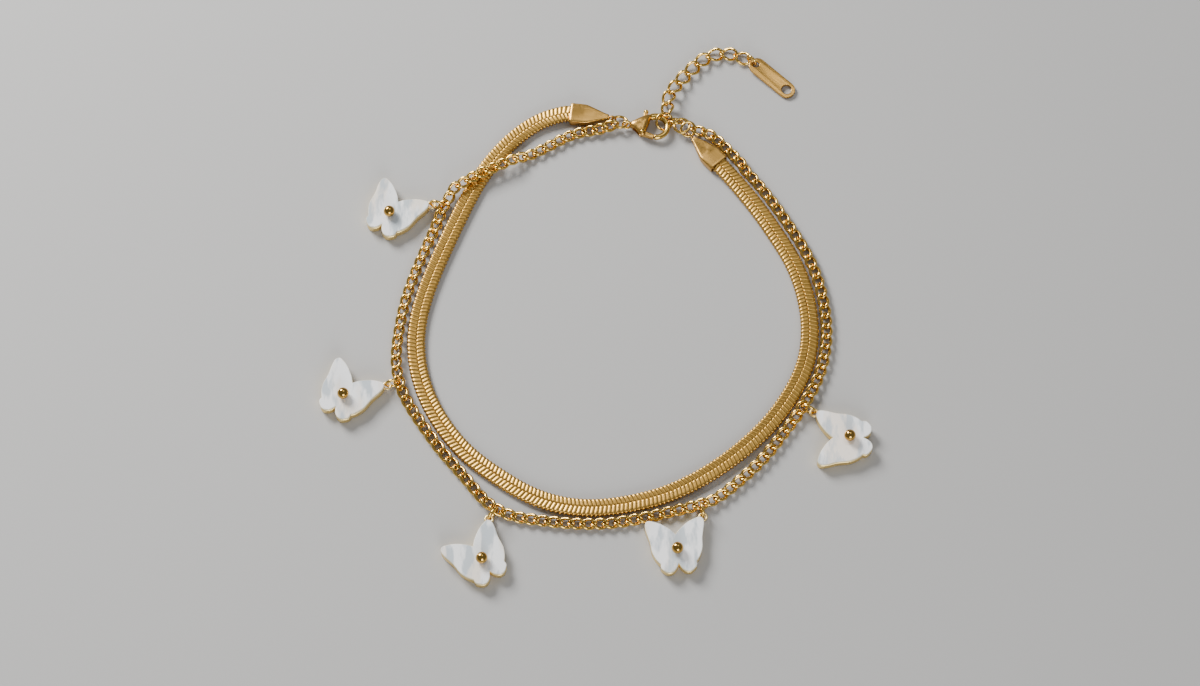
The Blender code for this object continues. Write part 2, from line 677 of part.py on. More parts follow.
def butterfly_places(eye_place):
    """For each butterfly: where its jump ring stands, which way the ring points, and its own place."""
    centres, forward, _ = chain_links()
    places = []
    for x, y, turn in BUTTERFLIES:
        eye = np.array([x, y])
        k = np.linalg.norm(centres[:, :2] - eye, axis=1).argmin()
        link = centres[k, :2]
        run = forward[k, :2] / np.linalg.norm(forward[k, :2])
        across = np.array([run[1], -run[0]])
        across *= np.sign(np.dot(eye - link, across))
        slide = np.clip(np.dot(eye - link, run), -0.2 * CURB_PITCH, 0.2 * CURB_PITCH)
        toward = across * CHARM_REACH + run * slide
        toward /= np.linalg.norm(toward)
        ring = link + toward * CHARM_RING_RADIUS
        seat = link + toward * CHARM_REACH
        spin = np.radians(turn - 90)
        rotation = np.array([[np.cos(spin), -np.sin(spin)], [np.sin(spin), np.cos(spin)]])
        aim = np.degrees(np.arctan2(toward[1], toward[0]))
        places.append((ring, aim, seat - rotation @ eye_place, turn - 90))
    return places


def build():
    for obj in list(bpy.data.objects):
        bpy.data.objects.remove(obj)
    bracelet = Bracelet()
    place = bracelet.place

    place("herringbone_band", herringbone_band(), "woven")
    _, left, right = band_path()
    for name, (mouth, axis), (eye, tilt) in zip(("end_cap_left", "end_cap_right"), (left, right), CAP_EYES):
        place(name, end_cap(name, mouth, axis, eye, tilt), "brushed")

    centres, forward, roll = chain_links()
    middle = len(centres) // 2
    for name, part in (("curb_chain_left", slice(0, middle)), ("curb_chain_right", slice(middle, None))):
        place(name, chain_mesh(name, centres[part], forward[part], roll[part]), "polished")

    for name, centre, degrees, tilt, radius in RINGS:
        curve = ring_curve(centre, degrees, tilt, radius, RING_SIDES)
        place(name, loop_mesh(name, curve, RING_WIRE), "polished")
    half_width = (EXTENDER_WIDTH - EXTENDER_WIRE) / 2
    for k, (centre, along, turn) in enumerate(zip(*extender_links())):
        name = f"extender_link_{k + 1}"
        curve = link_curve(centre, along, extender_half_length(), half_width, turn)
        place(name, loop_mesh(name, curve, EXTENDER_WIRE), "polished")

    hook_middle = (*CLASP_PLACE, 0)
    place("clasp_body", clasp_body(), "brushed", hook_middle)
    pivot = (CLASP_PLACE[0] + PIVOT[0], CLASP_PLACE[1] + PIVOT[1], CLASP_HEIGHT)
    place("clasp_lever", clasp_lever(), "brushed", pivot)
    reach = BODY_THICKNESS / 2
    place("clasp_pin", round_mesh("clasp_pin", (0, 0), PIN_RADIUS, -reach, reach), "polished", pivot)

    tag = tag_mesh()
    direction = heading(TAG_HEADING)
    rise = [TAG_RISE * (0.5 - v.co.x / MM / TAG_LENGTH) + FLOOR_GAP for v in tag.vertices]
    for vertex, lift in zip(tag.vertices, rise):
        vertex.co.z += lift * MM
    place("tag", tag, "brushed", (*TAG_PLACE, 0), TAG_HEADING)
    hole = np.array((*TAG_PLACE, 0)) + TAG_NEAR_HOLE_PLACE * direction
    centre = hole - (TAG_RING_RADIUS + GAP / 2) * direction
    centre[2] = TAG_RING_RADIUS + RING_WIRE / 2 + FLOOR_GAP
    curve = ring_curve(centre, TAG_HEADING, 90, TAG_RING_RADIUS, RING_SIDES)
    place("tag_ring", loop_mesh("tag_ring", curve, RING_WIRE), "polished")

    backing, shell, eye_place = butterfly_meshes()
    height = CHARM_RING_RADIUS + RING_WIRE / 2 + FLOOR_GAP
    for k, (ring, degrees, middle, turn) in enumerate(butterfly_places(eye_place)):
        name = f"butterfly_{k + 1}"
        seat = (*middle, 0)
        place(name + "_backing", backing, "polished", seat, turn)
        place(name + "_shell", shell, "shell", seat, turn)
        curve = ring_curve((*ring, height), degrees, 90, CHARM_RING_RADIUS, RING_SIDES)
        place(name + "_ring", loop_mesh(name + "_ring", curve, RING_WIRE), "polished")
    bracelet.centre()


build()
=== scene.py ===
"""Layered butterfly bracelet: the finished surfaces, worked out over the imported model."""

import bmesh
import bpy
import numpy as np
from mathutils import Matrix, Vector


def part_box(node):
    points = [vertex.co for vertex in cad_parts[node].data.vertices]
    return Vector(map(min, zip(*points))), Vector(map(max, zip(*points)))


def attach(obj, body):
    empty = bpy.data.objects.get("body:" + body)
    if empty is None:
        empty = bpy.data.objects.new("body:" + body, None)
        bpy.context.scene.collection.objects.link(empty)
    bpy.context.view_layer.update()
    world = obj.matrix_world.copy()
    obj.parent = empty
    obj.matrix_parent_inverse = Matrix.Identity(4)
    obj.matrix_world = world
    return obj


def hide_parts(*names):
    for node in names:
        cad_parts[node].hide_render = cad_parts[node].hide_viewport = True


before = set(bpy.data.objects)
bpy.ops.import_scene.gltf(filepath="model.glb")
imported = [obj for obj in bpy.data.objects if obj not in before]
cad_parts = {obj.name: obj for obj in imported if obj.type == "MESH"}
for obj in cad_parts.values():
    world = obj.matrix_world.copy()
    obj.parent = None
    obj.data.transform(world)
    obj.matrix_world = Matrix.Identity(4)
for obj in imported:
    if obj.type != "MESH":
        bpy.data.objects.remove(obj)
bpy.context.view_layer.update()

bl_info = {
    "name": "Layered Butterfly Bracelet",
    "version": (1, 0, 0),
    "blender": (4, 5, 0),
    "location": "View3D > Sidebar > Bracelet",
    "description": "Herringbone band, curb chain, clasp, extender, tag and butterfly charms",
    "category": "Add Mesh",
}

MM = 0.001

# Sizes and places below are in millimetres, in the frame in which the bracelet is laid out.
# The clasp's pivot in that frame, before the bracelet's box is centred on the origin
PIVOT_IN_LAYOUT = np.array([6.97, 37.42, 1.0])

# Herringbone band, from the left cap's mouth round to the right cap's mouth
BAND_ROUTE = [
    (-4.8, 41.15), (-6.9, 40.9), (-9.6, 39.95), (-12.1, 38.4), (-16.4, 34.1), (-19.75, 29.1),
    (-22.25, 23.9), (-24.4, 18.75), (-26.4, 13.6), (-28.2, 8.1), (-29.3, 2.2), (-29.05, -3.9),
    (-27.3, -9.8), (-24.4, -15.0), (-20.6, -19.5), (-16.1, -23.05), (-11.35, -26.0), (-6.2, -27.85),
    (-0.8, -28.35), (4.5, -27.7), (9.6, -26.35), (14.35, -24.2), (18.8, -21.4), (23.0, -18.0),
    (26.9, -14.0), (30.2, -9.3), (32.7, -3.85), (33.6, 2.2), (33.0, 8.2), (31.25, 13.9),
    (28.65, 18.9), (25.8, 23.6), (22.65, 28.0), (19.5, 31.8),
]
BAND_RISE_LENGTH = 8.0
BAR_SAMPLES = 8
BAR_SLANT = 0.55
BAR_SEAM = 0.06
BAR_ROUNDNESS = 0.85
EDGE_BEADS = 1.1
SEAM_DEPTH = 0.45
EDGE_FROM = 0.8
SEAM_WIDTH = 0.04
EDGE_POWER = 8
EDGE_FLATNESS = 0.7
BAND_TOP_SHARES = np.r_[
    np.linspace(0.995, 0.15, 9), np.linspace(0.10, 0.02, 5), np.linspace(-0.03, -0.995, 11)]
BAND_FOOT_SHARES = np.linspace(-0.97, 0.97, 9)

# Curb chain, from the clasp's ring round to the extender's ring
CHAIN_ROUTE = [
    (1.7, 38.72), (-0.1, 38.2), (-1.9, 37.95), (-4.75, 37.2), (-8.9, 34.9), (-13.1, 32.8),
    (-17.45, 30.7), (-20.6, 29.1), (-23.4, 27.0), (-25.4, 24.0), (-26.8, 20.0), (-28.9, 14.3),
    (-30.9, 8.4), (-32.1, 2.0), (-32.3, -4.9), (-31.2, -9.0), (-28.35, -14.0), (-24.6, -19.2),
    (-20.5, -24.1), (-16.8, -28.2), (-14.6, -29.4), (-9.9, -30.4), (-4.0, -31.0), (1.9, -30.9),
    (7.5, -29.9), (13.0, -28.6), (17.3, -27.3), (20.9, -24.7), (25.3, -20.5), (29.0, -15.7),
    (32.2, -10.7), (34.6, -6.5), (35.9, -1.4), (36.1, 5.2), (34.7, 11.6), (32.3, 17.4),
    (29.3, 22.6), (26.1, 27.5), (22.5, 32.1), (19.6, 36.0), (17.96, 37.32), (16.22, 37.83),
]
CURB_TWIST = 45.0
LEAN_FROM = -24.5
LEAN_RAMP = 4.0
LEAN_ROLL = 0.4
LEAN_RISE = 0.24
CHAIN_REST = 0.075
CURB_PLAY = 0.12
LOOSE_STRETCH = 0.1
LINK_POINTS = 28
LINK_SIDES = 12
LEFT_CHAIN_HEIGHT = 1.17
LEFT_CHAIN_ROLL = -0.57
RIGHT_CHAIN_HEIGHT = 1.02
CROSSING_REACH = 5.5
CROSSING_RAMP = 3.0
CHAIN_CLEARANCE = 0.18
CLEARING_RAMP = 1.5
CHARM_LIFT = 0.95
# Widths of the bell curves that lift and turn the chain, in pitches
CHARM_BELL = 1.3
END_BELL = 1.6
ROLL_BELL = 1.8

# Extender, from the hook's ring to the tag's ring
EXTENDER_ROUTE = [
    (11.18, 41.62, 1.39), (11.35, 43.8, 1.15), (12.3, 45.9, 0.9), (13.7, 47.8, 0.72),
    (15.3, 49.6, 0.66), (17.0, 51.3, 0.66), (19.0, 52.35, 0.66), (21.4, 52.6, 0.66),
    (23.75, 51.85, 0.7),
]
EXTENDER_START = (90.0, -0.1)
EXTENDER_END_HEADING = -26.0
EXTENDER_LINKS = 9
EXTENDER_FIRST_ROLL = -0.6

# Plain rings: centre, heading, tilt from level, radius of the wire's middle
RINGS = {
    "clasp_ring": ((3.2, 39.54, 0.95), -9.8, -19.4, 1.34),
    "hook_ring": ((10.64, 39.56, 1.1), 33.5, 36.1, 1.38),
    "end_ring_1": ((12.52, 39.71, 0.99), -10.9, -45.4, 1.1),
    "end_ring_2": ((13.53, 38.62, 1.37), -71.2, -0.4, 1.26),
    "end_ring_3": ((14.55, 38.09, 1.2), 9.6, 30.5, 1.16),
}
TAG_RING_RADIUS = 0.9
CHARM_RING_RADIUS = 1.1
CHARM_REACH = 2.05
# How far a ring may slide along its link, in pitches
RING_SLIDE = 0.2

# End caps: mouth and heading follow the band, the eye sits on the nose
CAP_HEADINGS = (-6.2, 131.3)
CAP_EYES = [((2.0, 40.09, 0.83), 61.2), ((14.91, 37.04, 0.77), -108.6)]
CAP_LENGTH = 6.4
CAP_POCKET = 2.6
CAP_WALL = 0.2
CAP_LIP = 0.05
CAP_NOSE_WIDTH = 1.0
CAP_NOSE_THICKNESS = 0.8
CAP_SHARES = [(0.0, 1.0, 1.0), (0.36, 1.0, 1.0), (0.44, 0.93, 0.9), (0.92, 0.0, 0.25), (1.0, -0.1, 0.0)]
EYE_RADIUS = 0.58
EYE_WIRE = 0.36

# Lobster clasp, measured from the middle of its hook
CLASP_PLACE = np.array([9.22, 38.62, 1.0])
CLASP_BODY = [
    (-4.3, 0.05), (-3.4, -0.75), (-2.75, -1.6), (-2.4, -1.8), (-1.95, -1.8), (-1.75, -1.15),
    (-0.75, 1.5), (-0.45, 2.1), (-1.0, 2.25), (-2.0, 1.95), (-3.1, 1.4), (-4.1, 0.85), (-4.4, 0.45),
]
HOOK_RADIUS = 1.93
HOOK_START = 112.0
HOOK_END = -93.0
HOOK_ROOT = 1.12
HOOK_TAPER = 0.22
HOOK_TAPER_RATE = 1.6
HOOK_DEPTH = 1.05
TAIL_EYE = (-4.8, 0.38)
TAIL_EYE_TILT = 64.0
TAIL_EYE_RADIUS = 0.64
TAIL_EYE_WIRE = 0.42
LEVER = [
    (-2.6, -1.45), (-2.3, -1.66), (-0.49, -2.31), (-0.22, -1.65), (-1.72, -0.98), (-1.86, -0.5),
    (-1.35, 2.6), (-1.9, 2.65), (-2.41, -0.5), (-2.62, -1.0),
]
LEVER_BEVEL = 0.1
NUB = (-1.57, 2.75)
NUB_RADIUS = 0.42
CLASP_HEIGHT = 1.0
PIVOT = (-2.25, -1.2)
PIN_RADIUS = 0.27
# Shares of the half length and of the radius, from the lower end to the upper
PIN_PROFILE = [(-1, 0.8), (-0.94, 1), (0.94, 1), (1, 0.8)]
SLOT = [(-3.75, -3.2), (-0.9, -3.2), (-0.9, 1.2), (-1.05, 1.5), (-1.05, 3.6), (-3.75, 3.6)]

# Tag
TAG_PLACE = np.array([28.66, 48.07, 0.0])
TAG_HEADING = -42.4
TAG_RISE = 0.5
TAG_BEVEL = 0.07
TAG_HOLES = [(-3.6, 0.6), (3.2, 0.85)]

# Butterflies: place of the eye, and which way the head points
BUTTERFLIES = [
    (-27.2, 24.2, 58.0),
    (-32.9, -7.5, 58.0),
    (-17.6, -29.7, 123.0),
    (15.9, -30.1, 95.5),
    (33.2, -11.5, 180.0),
]
EYE_HEIGHT = 0.72
WING_EYE = (1.0, 0.62)
PIN_STEM = 0.7
STEM_DEPTH = 0.2
BACKING_BEVEL = 0.07
SHELL_BEVEL = 0.09
FLOOR_GAP = 0.02
WELD = 0.001
RING_SLIT = 0.05
DOME_HEIGHT = 0.6
GAP = 0.08
# Right half of a butterfly in runs that meet at corners: shares of the half span and of the height
WING_RUNS = [
    [(0.0, 0.30), (0.13, 0.38), (0.35, 0.475), (0.57, 0.545), (0.75, 0.58), (0.90, 0.59), (0.985, 0.545),
     (1.0, 0.47), (0.96, 0.355), (0.89, 0.20), (0.87, 0.08), (0.85, 0.0), (0.78, -0.10), (0.70, -0.175),
     (0.60, -0.24)],
    [(0.60, -0.24), (0.61, -0.305), (0.52, -0.365), (0.39, -0.41), (0.24, -0.405), (0.11, -0.355),
     (0.0, -0.255)],
]

# Lights as name, azimuth and elevation in degrees, distance and size in metres, and power in watts, then
# the room's own light and the camera, with its distance in metres
LIGHTS = [
    ("key", 132.0, 36.0, 0.55, 0.22, 5.8),
    ("fill", -80.0, 24.0, 0.60, 0.30, 2.3),
    ("top", 60.0, 66.0, 0.70, 0.26, 0.5),
]
ROOM_COLOUR = (0.92, 0.95, 1.0, 1)
ROOM_STRENGTH = 0.25
CAMERA_ELEVATION = 66.0
CAMERA_DISTANCE = 0.4533
CAMERA_LENS = 85
CAMERA_SENSOR = 36
FLOOR_SIZE = 1.6


def length(name, description, millimetres):
    """A length on the panel, from its default in millimetres."""
    return bpy.props.FloatProperty(
        name=name, description=description, default=millimetres * MM, unit="LENGTH", precision=5)


def tint(name, description, colour):
    """A colour on the panel."""
    return bpy.props.FloatVectorProperty(
        name=name, description=description, default=colour, subtype="COLOR", min=0, max=1)


class BRACELET_PG_sizes(bpy.types.PropertyGroup):
    """Sizes of the bracelet's pieces."""

    band_width: length("Band width", "Width of the herringbone band", 3.0)
    band_thickness: length("Band thickness", "Thickness of the band", 1.0)
    bar_pitch: length("Bar pitch", "Distance from one bar of the band's weave to the next", 0.66)
    bar_depth: length("Bar depth", "Depth of the grooves between the bars", 0.12)
    curb_pitch: length("Curb pitch", "Distance from link to link of the curb chain", 1.8)
    curb_width: length("Curb width", "Width of the curb chain", 2.0)
    curb_wire: length("Curb wire", "Wire thickness of the curb chain", 0.53)
    extender_length: length("Extender link length", "Length of one link of the extender", 3.3)
    extender_width: length("Extender link width", "Width of one link of the extender", 2.5)
    extender_wire: length("Extender wire", "Wire thickness of the extender", 0.48)
    ring_wire: length("Ring wire", "Wire thickness of the plain rings", 0.45)
    hook_wire: length("Hook thickness", "Thickness of the clasp's hook", 1.0)
    body_thickness: length("Clasp thickness", "Thickness of the clasp's body", 1.9)
    lever_thickness: length("Lever thickness", "Thickness of the clasp's lever", 0.7)
    tag_length: length("Tag length", "Length of the tag", 9.3)
    tag_width: length("Tag width", "Width of the tag", 2.9)
    tag_thickness: length("Tag thickness", "Thickness of the tag", 0.5)
    wing_span: length("Wing span", "Width of a butterfly over its wings", 9.2)
    wing_height: length("Wing height", "Height of a butterfly", 8.65)
    backing_thickness: length("Backing thickness", "Thickness of a butterfly's gold backing", 1.2)
    shell_thickness: length("Shell thickness", "Thickness of a butterfly's shell plate", 0.55)
    centre_ball: length("Centre ball", "Diameter of the ball that holds the shell", 1.85)


class BRACELET_PG_colours(bpy.types.PropertyGroup):
    """Colours of the bracelet's finishes."""

    gold: tint("Gold", "Polished gold", (0.82, 0.53, 0.125))
    woven: tint("Woven gold", "Paler gold of the band", (0.60, 0.355, 0.085))
    # Painted reflection: the balls' gold made darker to stand for a dark reflection.
    ball_gold_dark_reflection: tint("Bead gold", "Dark gold of the balls on the butterflies", (0.50, 0.30, 0.07))
    # Darker gold for clouds of wear, and for painted shade in the band's grooves.
    worn_and_shaded_gold: tint("Deep gold", "Gold in hollows and where it is worn", (0.40, 0.22, 0.045))
    brushed: tint("Brushed gold", "Gold of the brushed pieces", (0.64, 0.37, 0.095))
    # Painted light: the backings' satin gold is made paler so that their rims look lit.
    rim: tint("Rim gold", "Satin gold of the butterflies' backings", (0.98, 0.76, 0.33))
    shell: tint("Shell", "Ground colour of the shell plates", (0.95, 0.945, 0.935))
    blush: tint("Blush", "Warm streaks of the shell", (0.90, 0.79, 0.66))
    mist: tint("Mist", "Grey green streaks of the shell", (0.48, 0.53, 0.56))
    # Painted light: cream for the gold backing's light that the shell's edges pick up.
    edge: tint("Shell edge", "Warm cream of the shell plates' edges", (0.95, 0.80, 0.42))
    floor: tint("Floor", "Pale floor", (0.44, 0.432, 0.42))


def sizes():
    return bpy.context.scene.bracelet_sizes


def colours():
    return bpy.context.scene.bracelet_colours


def mm(name):
    """A size of the panel in millimetres."""
    return getattr(sizes(), name) / MM


def unit(vectors):
    return vectors / np.linalg.norm(vectors, axis=-1, keepdims=True)


def layout_shift():
    """From the layout's frame to the part's frame, found from the clasp's pin, in millimetres."""
    low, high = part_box("clasp_pin")
    return (np.array(low) + np.array(high)) / 2 / MM - PIVOT_IN_LAYOUT


def spline(points, ends=None, step=0.1):
    """A natural cubic through the points by distance along them: between two points it is the straight
    line plus two cubic terms whose bends solve one linear system. With ends, it leaves and arrives
    along those two directions."""
    points = np.array(points, float)
    count = len(points)
    knots = np.r_[0, np.cumsum(np.linalg.norm(np.diff(points, axis=0), axis=1))]
    gap = np.diff(knots)
    slope = np.diff(points, axis=0) / gap[:, None]
    middle = np.arange(1, count - 1)
    system = np.eye(count)
    system[middle, middle - 1] = gap[:-1]
    system[middle, middle] = 2 * (gap[:-1] + gap[1:])
    system[middle, middle + 1] = gap[1:]
    right = np.zeros_like(points)
    right[1:-1] = 6 * np.diff(slope, axis=0)
    if ends is not None:
        system[0, :2] = 2 * gap[0], gap[0]
        system[-1, -2:] = gap[-1], 2 * gap[-1]
        right[0] = 6 * (slope[0] - ends[0])
        right[-1] = 6 * (ends[1] - slope[-1])
    bend = np.linalg.solve(system, right)
    s = np.linspace(0, knots[-1], int(knots[-1] / step) + 2)
    k = np.clip(np.searchsorted(knots, s, side="right") - 1, 0, count - 2)
    x = (s - knots[k])[:, None]
    h = gap[k][:, None]
    linear = slope[k] - h * (2 * bend[k] + bend[k + 1]) / 6
    return points[k] + x * linear + x ** 2 * bend[k] / 2 + x ** 3 * (bend[k + 1] - bend[k]) / (6 * h)


def lengths(path):
    return np.r_[0, np.cumsum(np.linalg.norm(np.diff(path, axis=0), axis=1))]


def read_at(stations, along, values):
    """The rows of values, given at distances along, read at the stations."""
    return np.stack([np.interp(stations, along, column) for column in values.T], axis=-1)


def resample(path, stations):
    return read_at(stations, lengths(path), path)


def smooth_step(x):
    x = np.clip(x, 0, 1)
    return x * x * (3 - 2 * x)


def heading(degrees, climb=0.0):
    angle = np.radians(degrees)
    return unit(np.array([np.cos(angle), np.sin(angle), climb]))


def left_of(forward):
    """The level direction to the left of each direction."""
    return unit(np.cross([0.0, 0.0, 1.0], forward))


def turns(count):
    """Angles that divide a full turn evenly."""
    return np.linspace(0, 2 * np.pi, count, endpoint=False)


def ring_curve(centre, degrees, tilt, radius, count=64, gap=0.0):
    """A circle: centre + radius (cos t along the heading + sin t along a line tilted up from level),
    with t from half the gap to a full turn less half the gap."""
    t = np.linspace(gap / 2, 2 * np.pi - gap / 2, count, endpoint=gap > 0)[:, None]
    along = heading(degrees)
    up = left_of(along) * np.cos(np.radians(tilt)) + np.array([0, 0, np.sin(np.radians(tilt))])
    return np.array(centre) + radius * (np.cos(t) * along + np.sin(t) * up)


def link_curves(centres, along, half_length, half_width, roll, count):
    """Ovals, one for each centre: half_length cos t along the link and half_width sin t across it, the
    across line turning with CURB_TWIST times cos t, so each end leans the other way."""
    along = unit(along)
    side = left_of(along)
    lift = np.cross(along, side)
    turn = np.asarray(roll, float).reshape(-1, 1)
    side, lift = side * np.cos(turn) + lift * np.sin(turn), lift * np.cos(turn) - side * np.sin(turn)
    t = turns(count)[None, :, None]
    twist = np.radians(CURB_TWIST) * np.cos(t)
    across = np.cos(twist) * side[:, None] + np.sin(twist) * lift[:, None]
    return centres[:, None] + half_length * np.cos(t) * along[:, None] + half_width * np.sin(t) * across


def wire(curves, thickness, sides=12, closed=True):
    """A round wire on each curve: a circle of the wire's radius turned round the curve's direction,
    measured from the line towards the curve's middle."""
    curves = np.asarray(curves, float)
    curves = curves.reshape(-1, *curves.shape[-2:])
    if closed:
        forward = unit(np.roll(curves, -1, axis=1) - np.roll(curves, 1, axis=1))
    else:
        forward = unit(np.gradient(curves, axis=1))
    inward = curves.mean(axis=1, keepdims=True) - curves
    inward = unit(inward - (inward * forward).sum(axis=-1, keepdims=True) * forward)
    side = np.cross(forward, inward)
    angle = turns(sides)[:, None]
    spoke = np.cos(angle) * inward[:, :, None] + np.sin(angle) * side[:, :, None]
    return curves[:, :, None] + thickness / 2 * spoke


def rounded_ends(grid, rows=3):
    """The grid with domed ends: rows that shrink to a point over a quarter circle, out along the tube."""
    grid = grid.reshape(-1, *grid.shape[-3:])
    parts = [grid]
    for end, inner in ((0, 1), (-1, -2)):
        ring = grid[:, end]
        centre = ring.mean(axis=1, keepdims=True)
        out = unit(centre - grid[:, inner].mean(axis=1, keepdims=True))
        reach = np.linalg.norm(ring - centre, axis=-1).mean()
        angle = np.radians(np.linspace(0, 90, rows + 1)[1:])
        push = DOME_HEIGHT * reach * out
        dome = np.stack([centre + np.cos(a) * (ring - centre) + np.sin(a) * push for a in angle], axis=1)
        parts = [dome[:, ::-1]] + parts if end == 0 else parts + [dome]
    return np.concatenate(parts, axis=1)


def shut(grid):
    """The grid with a last row at the middle of each end, which closes it with flat faces."""
    grid = grid.reshape(-1, *grid.shape[-3:])
    first, last = (row * 0 + row.mean(axis=2, keepdims=True) for row in (grid[:, :1], grid[:, -1:]))
    return np.concatenate([first, grid, last], axis=1)


def quads(rows, columns, wrap):
    """Corner numbers of a grid whose columns close up, and whose rows do where wrap is set."""
    i = np.arange(rows if wrap else rows - 1)[:, None]
    j = np.arange(columns)[None]
    down = (i + 1) % rows
    side = (j + 1) % columns
    corners = [i * columns + j, i * columns + side, down * columns + side, down * columns + j]
    return np.stack(corners, axis=-1).reshape(-1, 4)


def volume(points, faces):
    a, b, c, d = (points[faces[:, k]] for k in range(4))
    return (a * np.cross(b, c)).sum() + (a * np.cross(c, d)).sum()


def weld(mesh, outwards=False):
    """Joins points that coincide and drops what collapses. Where asked, turns all faces outwards."""
    work = bmesh.new()
    work.from_mesh(mesh)
    bmesh.ops.remove_doubles(work, verts=work.verts, dist=WELD * MM)
    bmesh.ops.dissolve_degenerate(work, edges=work.edges, dist=WELD * MM)
    if outwards:
        bmesh.ops.recalc_face_normals(work, faces=work.faces)
    work.to_mesh(mesh)
    work.free()


def grid_mesh(name, surfaces):
    """One mesh from several grids, each (points, wrap), put in the part's frame with its faces outwards."""
    points = []
    faces = []
    count = 0
    for grid, wrap in surfaces:
        grid = grid.reshape(-1, *grid.shape[-3:])
        copies, rows, columns = grid.shape[:3]
        one = quads(rows, columns, wrap)
        flat = grid[0].reshape(-1, 3)
        if volume(flat - flat.mean(axis=0), one) < 0:
            one = one[:, ::-1]
        faces.append((one[None] + count + np.arange(copies)[:, None, None] * rows * columns).reshape(-1, 4))
        points.append(grid.reshape(-1, 3))
        count += copies * rows * columns
    mesh = bpy.data.meshes.new(name)
    mesh.from_pydata(((np.vstack(points) + layout_shift()) * MM).tolist(), [], np.vstack(faces).tolist())
    weld(mesh)
    return mesh


def finished(name, mesh, material, replaces, body="bracelet", sharp=50):
    """The mesh as an object on its body, in place of the named solids, creased at edges over an angle."""
    mesh.shade_smooth()
    mesh.set_sharp_from_angle(angle=np.radians(sharp))
    obj = bpy.data.objects.new(name, mesh)
    bpy.context.scene.collection.objects.link(obj)
    mesh.materials.clear()
    mesh.materials.append(material)
    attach(obj, body)
    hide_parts(*replaces)
    return obj


def piece(name, surfaces, material, replaces, body="bracelet", sharp=50):
    return finished(name, grid_mesh(name, surfaces), material, replaces, body, sharp)


def band_path():
    """Middle of the band from mouth to mouth, and each mouth with the heading into its cap."""
    axes = [heading(degrees) for degrees in CAP_HEADINGS]
    flat = spline(BAND_ROUTE, (-axes[0][:2], axes[1][:2]))
    along = lengths(flat)
    to_mouth = np.minimum(along, along[-1] - along)
    rise = GAP + CAP_WALL + FLOOR_GAP
    height = mm("band_thickness") / 2 + rise * (1 - smooth_step(to_mouth / BAND_RISE_LENGTH))
    path = np.column_stack([flat, height])
    return path, (path[0], axes[0]), (path[-1], axes[1])


def band_surface():
    """The woven band. Across it the top is flat and falls at each edge as the root of 1 - share^8. Bars lie
    across it, a pitch apart, each a rounded hump: the depth times |sin(pi phase)| to a power, where the
    phase is the distance along over the pitch, plus a slant from the seam outwards, and half a bar more
    beyond the seam. A groove runs along the seam."""
    path, left, right = band_path()
    inside = CAP_POCKET - GAP
    path = np.vstack([left[0] + inside * left[1], path, right[0] + inside * right[1]])
    total = lengths(path)[-1]
    bars = int(total / mm("bar_pitch"))
    stations = np.linspace(0, total, bars * BAR_SAMPLES + 1)
    middle = resample(path, stations)
    forward = unit(np.gradient(middle, axis=0))
    side = left_of(forward)
    up = np.cross(forward, side)
    share = np.r_[BAND_TOP_SHARES, BAND_FOOT_SHARES]
    top = np.r_[np.ones(len(BAND_TOP_SHARES)), -np.ones(len(BAND_FOOT_SHARES))]
    across = mm("band_width") / 2 * share
    height = mm("band_thickness") / 2 * np.sqrt(np.maximum(1 - np.abs(share) ** EDGE_POWER, 0)) * top
    beyond = share > BAR_SEAM
    slant = BAR_SLANT * np.abs(share - BAR_SEAM)
    phase = stations[:, None] / (total / bars) + slant + np.where(beyond, 0.5, 0.0)
    edge = smooth_step((np.abs(share) - EDGE_FROM) / (1 - EDGE_FROM))
    hump = np.abs(np.sin(np.pi * phase)) ** BAR_ROUNDNESS - 1
    relief = mm("bar_depth") * (1 + EDGE_BEADS * edge) * hump
    relief -= mm("bar_depth") * SEAM_DEPTH * np.exp(-((share - BAR_SEAM) / SEAM_WIDTH) ** 2) * (top > 0)
    lean = edge * np.sign(share)
    points = (middle[:, None] + (across + relief * lean)[..., None] * side[:, None]
              + (height + relief * top * (1 - EDGE_FLATNESS * edge))[..., None] * up[:, None])
    return points, np.clip(-relief / mm("bar_depth"), 0, 1)


def cap_half_width(share):
    widest = mm("band_width") / 2 + GAP + CAP_WALL
    share = np.asarray(share, float)
    taper = np.maximum(share, 0) * (widest - CAP_NOSE_WIDTH / 2) + np.minimum(share, 0) * CAP_NOSE_WIDTH
    return CAP_NOSE_WIDTH / 2 + taper


def strip():
    """The band and its caps as one line from nose to nose, with the half width at each point."""
    path, left, right = band_path()
    steps = np.linspace(1, 0, 30)[:-1, None]
    left_part = left[0] + steps * CAP_LENGTH * left[1]
    right_part = right[0] + steps[::-1] * CAP_LENGTH * right[1]
    along = lengths(path)
    to_mouth = np.minimum(along, along[-1] - along)
    shares = np.array(CAP_SHARES)
    half_left = np.interp(steps[:, 0], shares[:, 0], cap_half_width(shares[:, 1]))
    middle = np.where(to_mouth < mm("curb_width"), cap_half_width(1), mm("band_width") / 2)
    return np.vstack([left_part, path, right_part]), np.r_[half_left, middle, half_left[::-1]]


def leaning(places):
    """How far the chain leans against the band at each place: a smooth step towards its left side."""
    return smooth_step((LEAN_FROM - places[:, 0]) / LEAN_RAMP)


def bell(distance, pitches):
    return np.exp(-(distance / mm("curb_pitch") / pitches) ** 2)


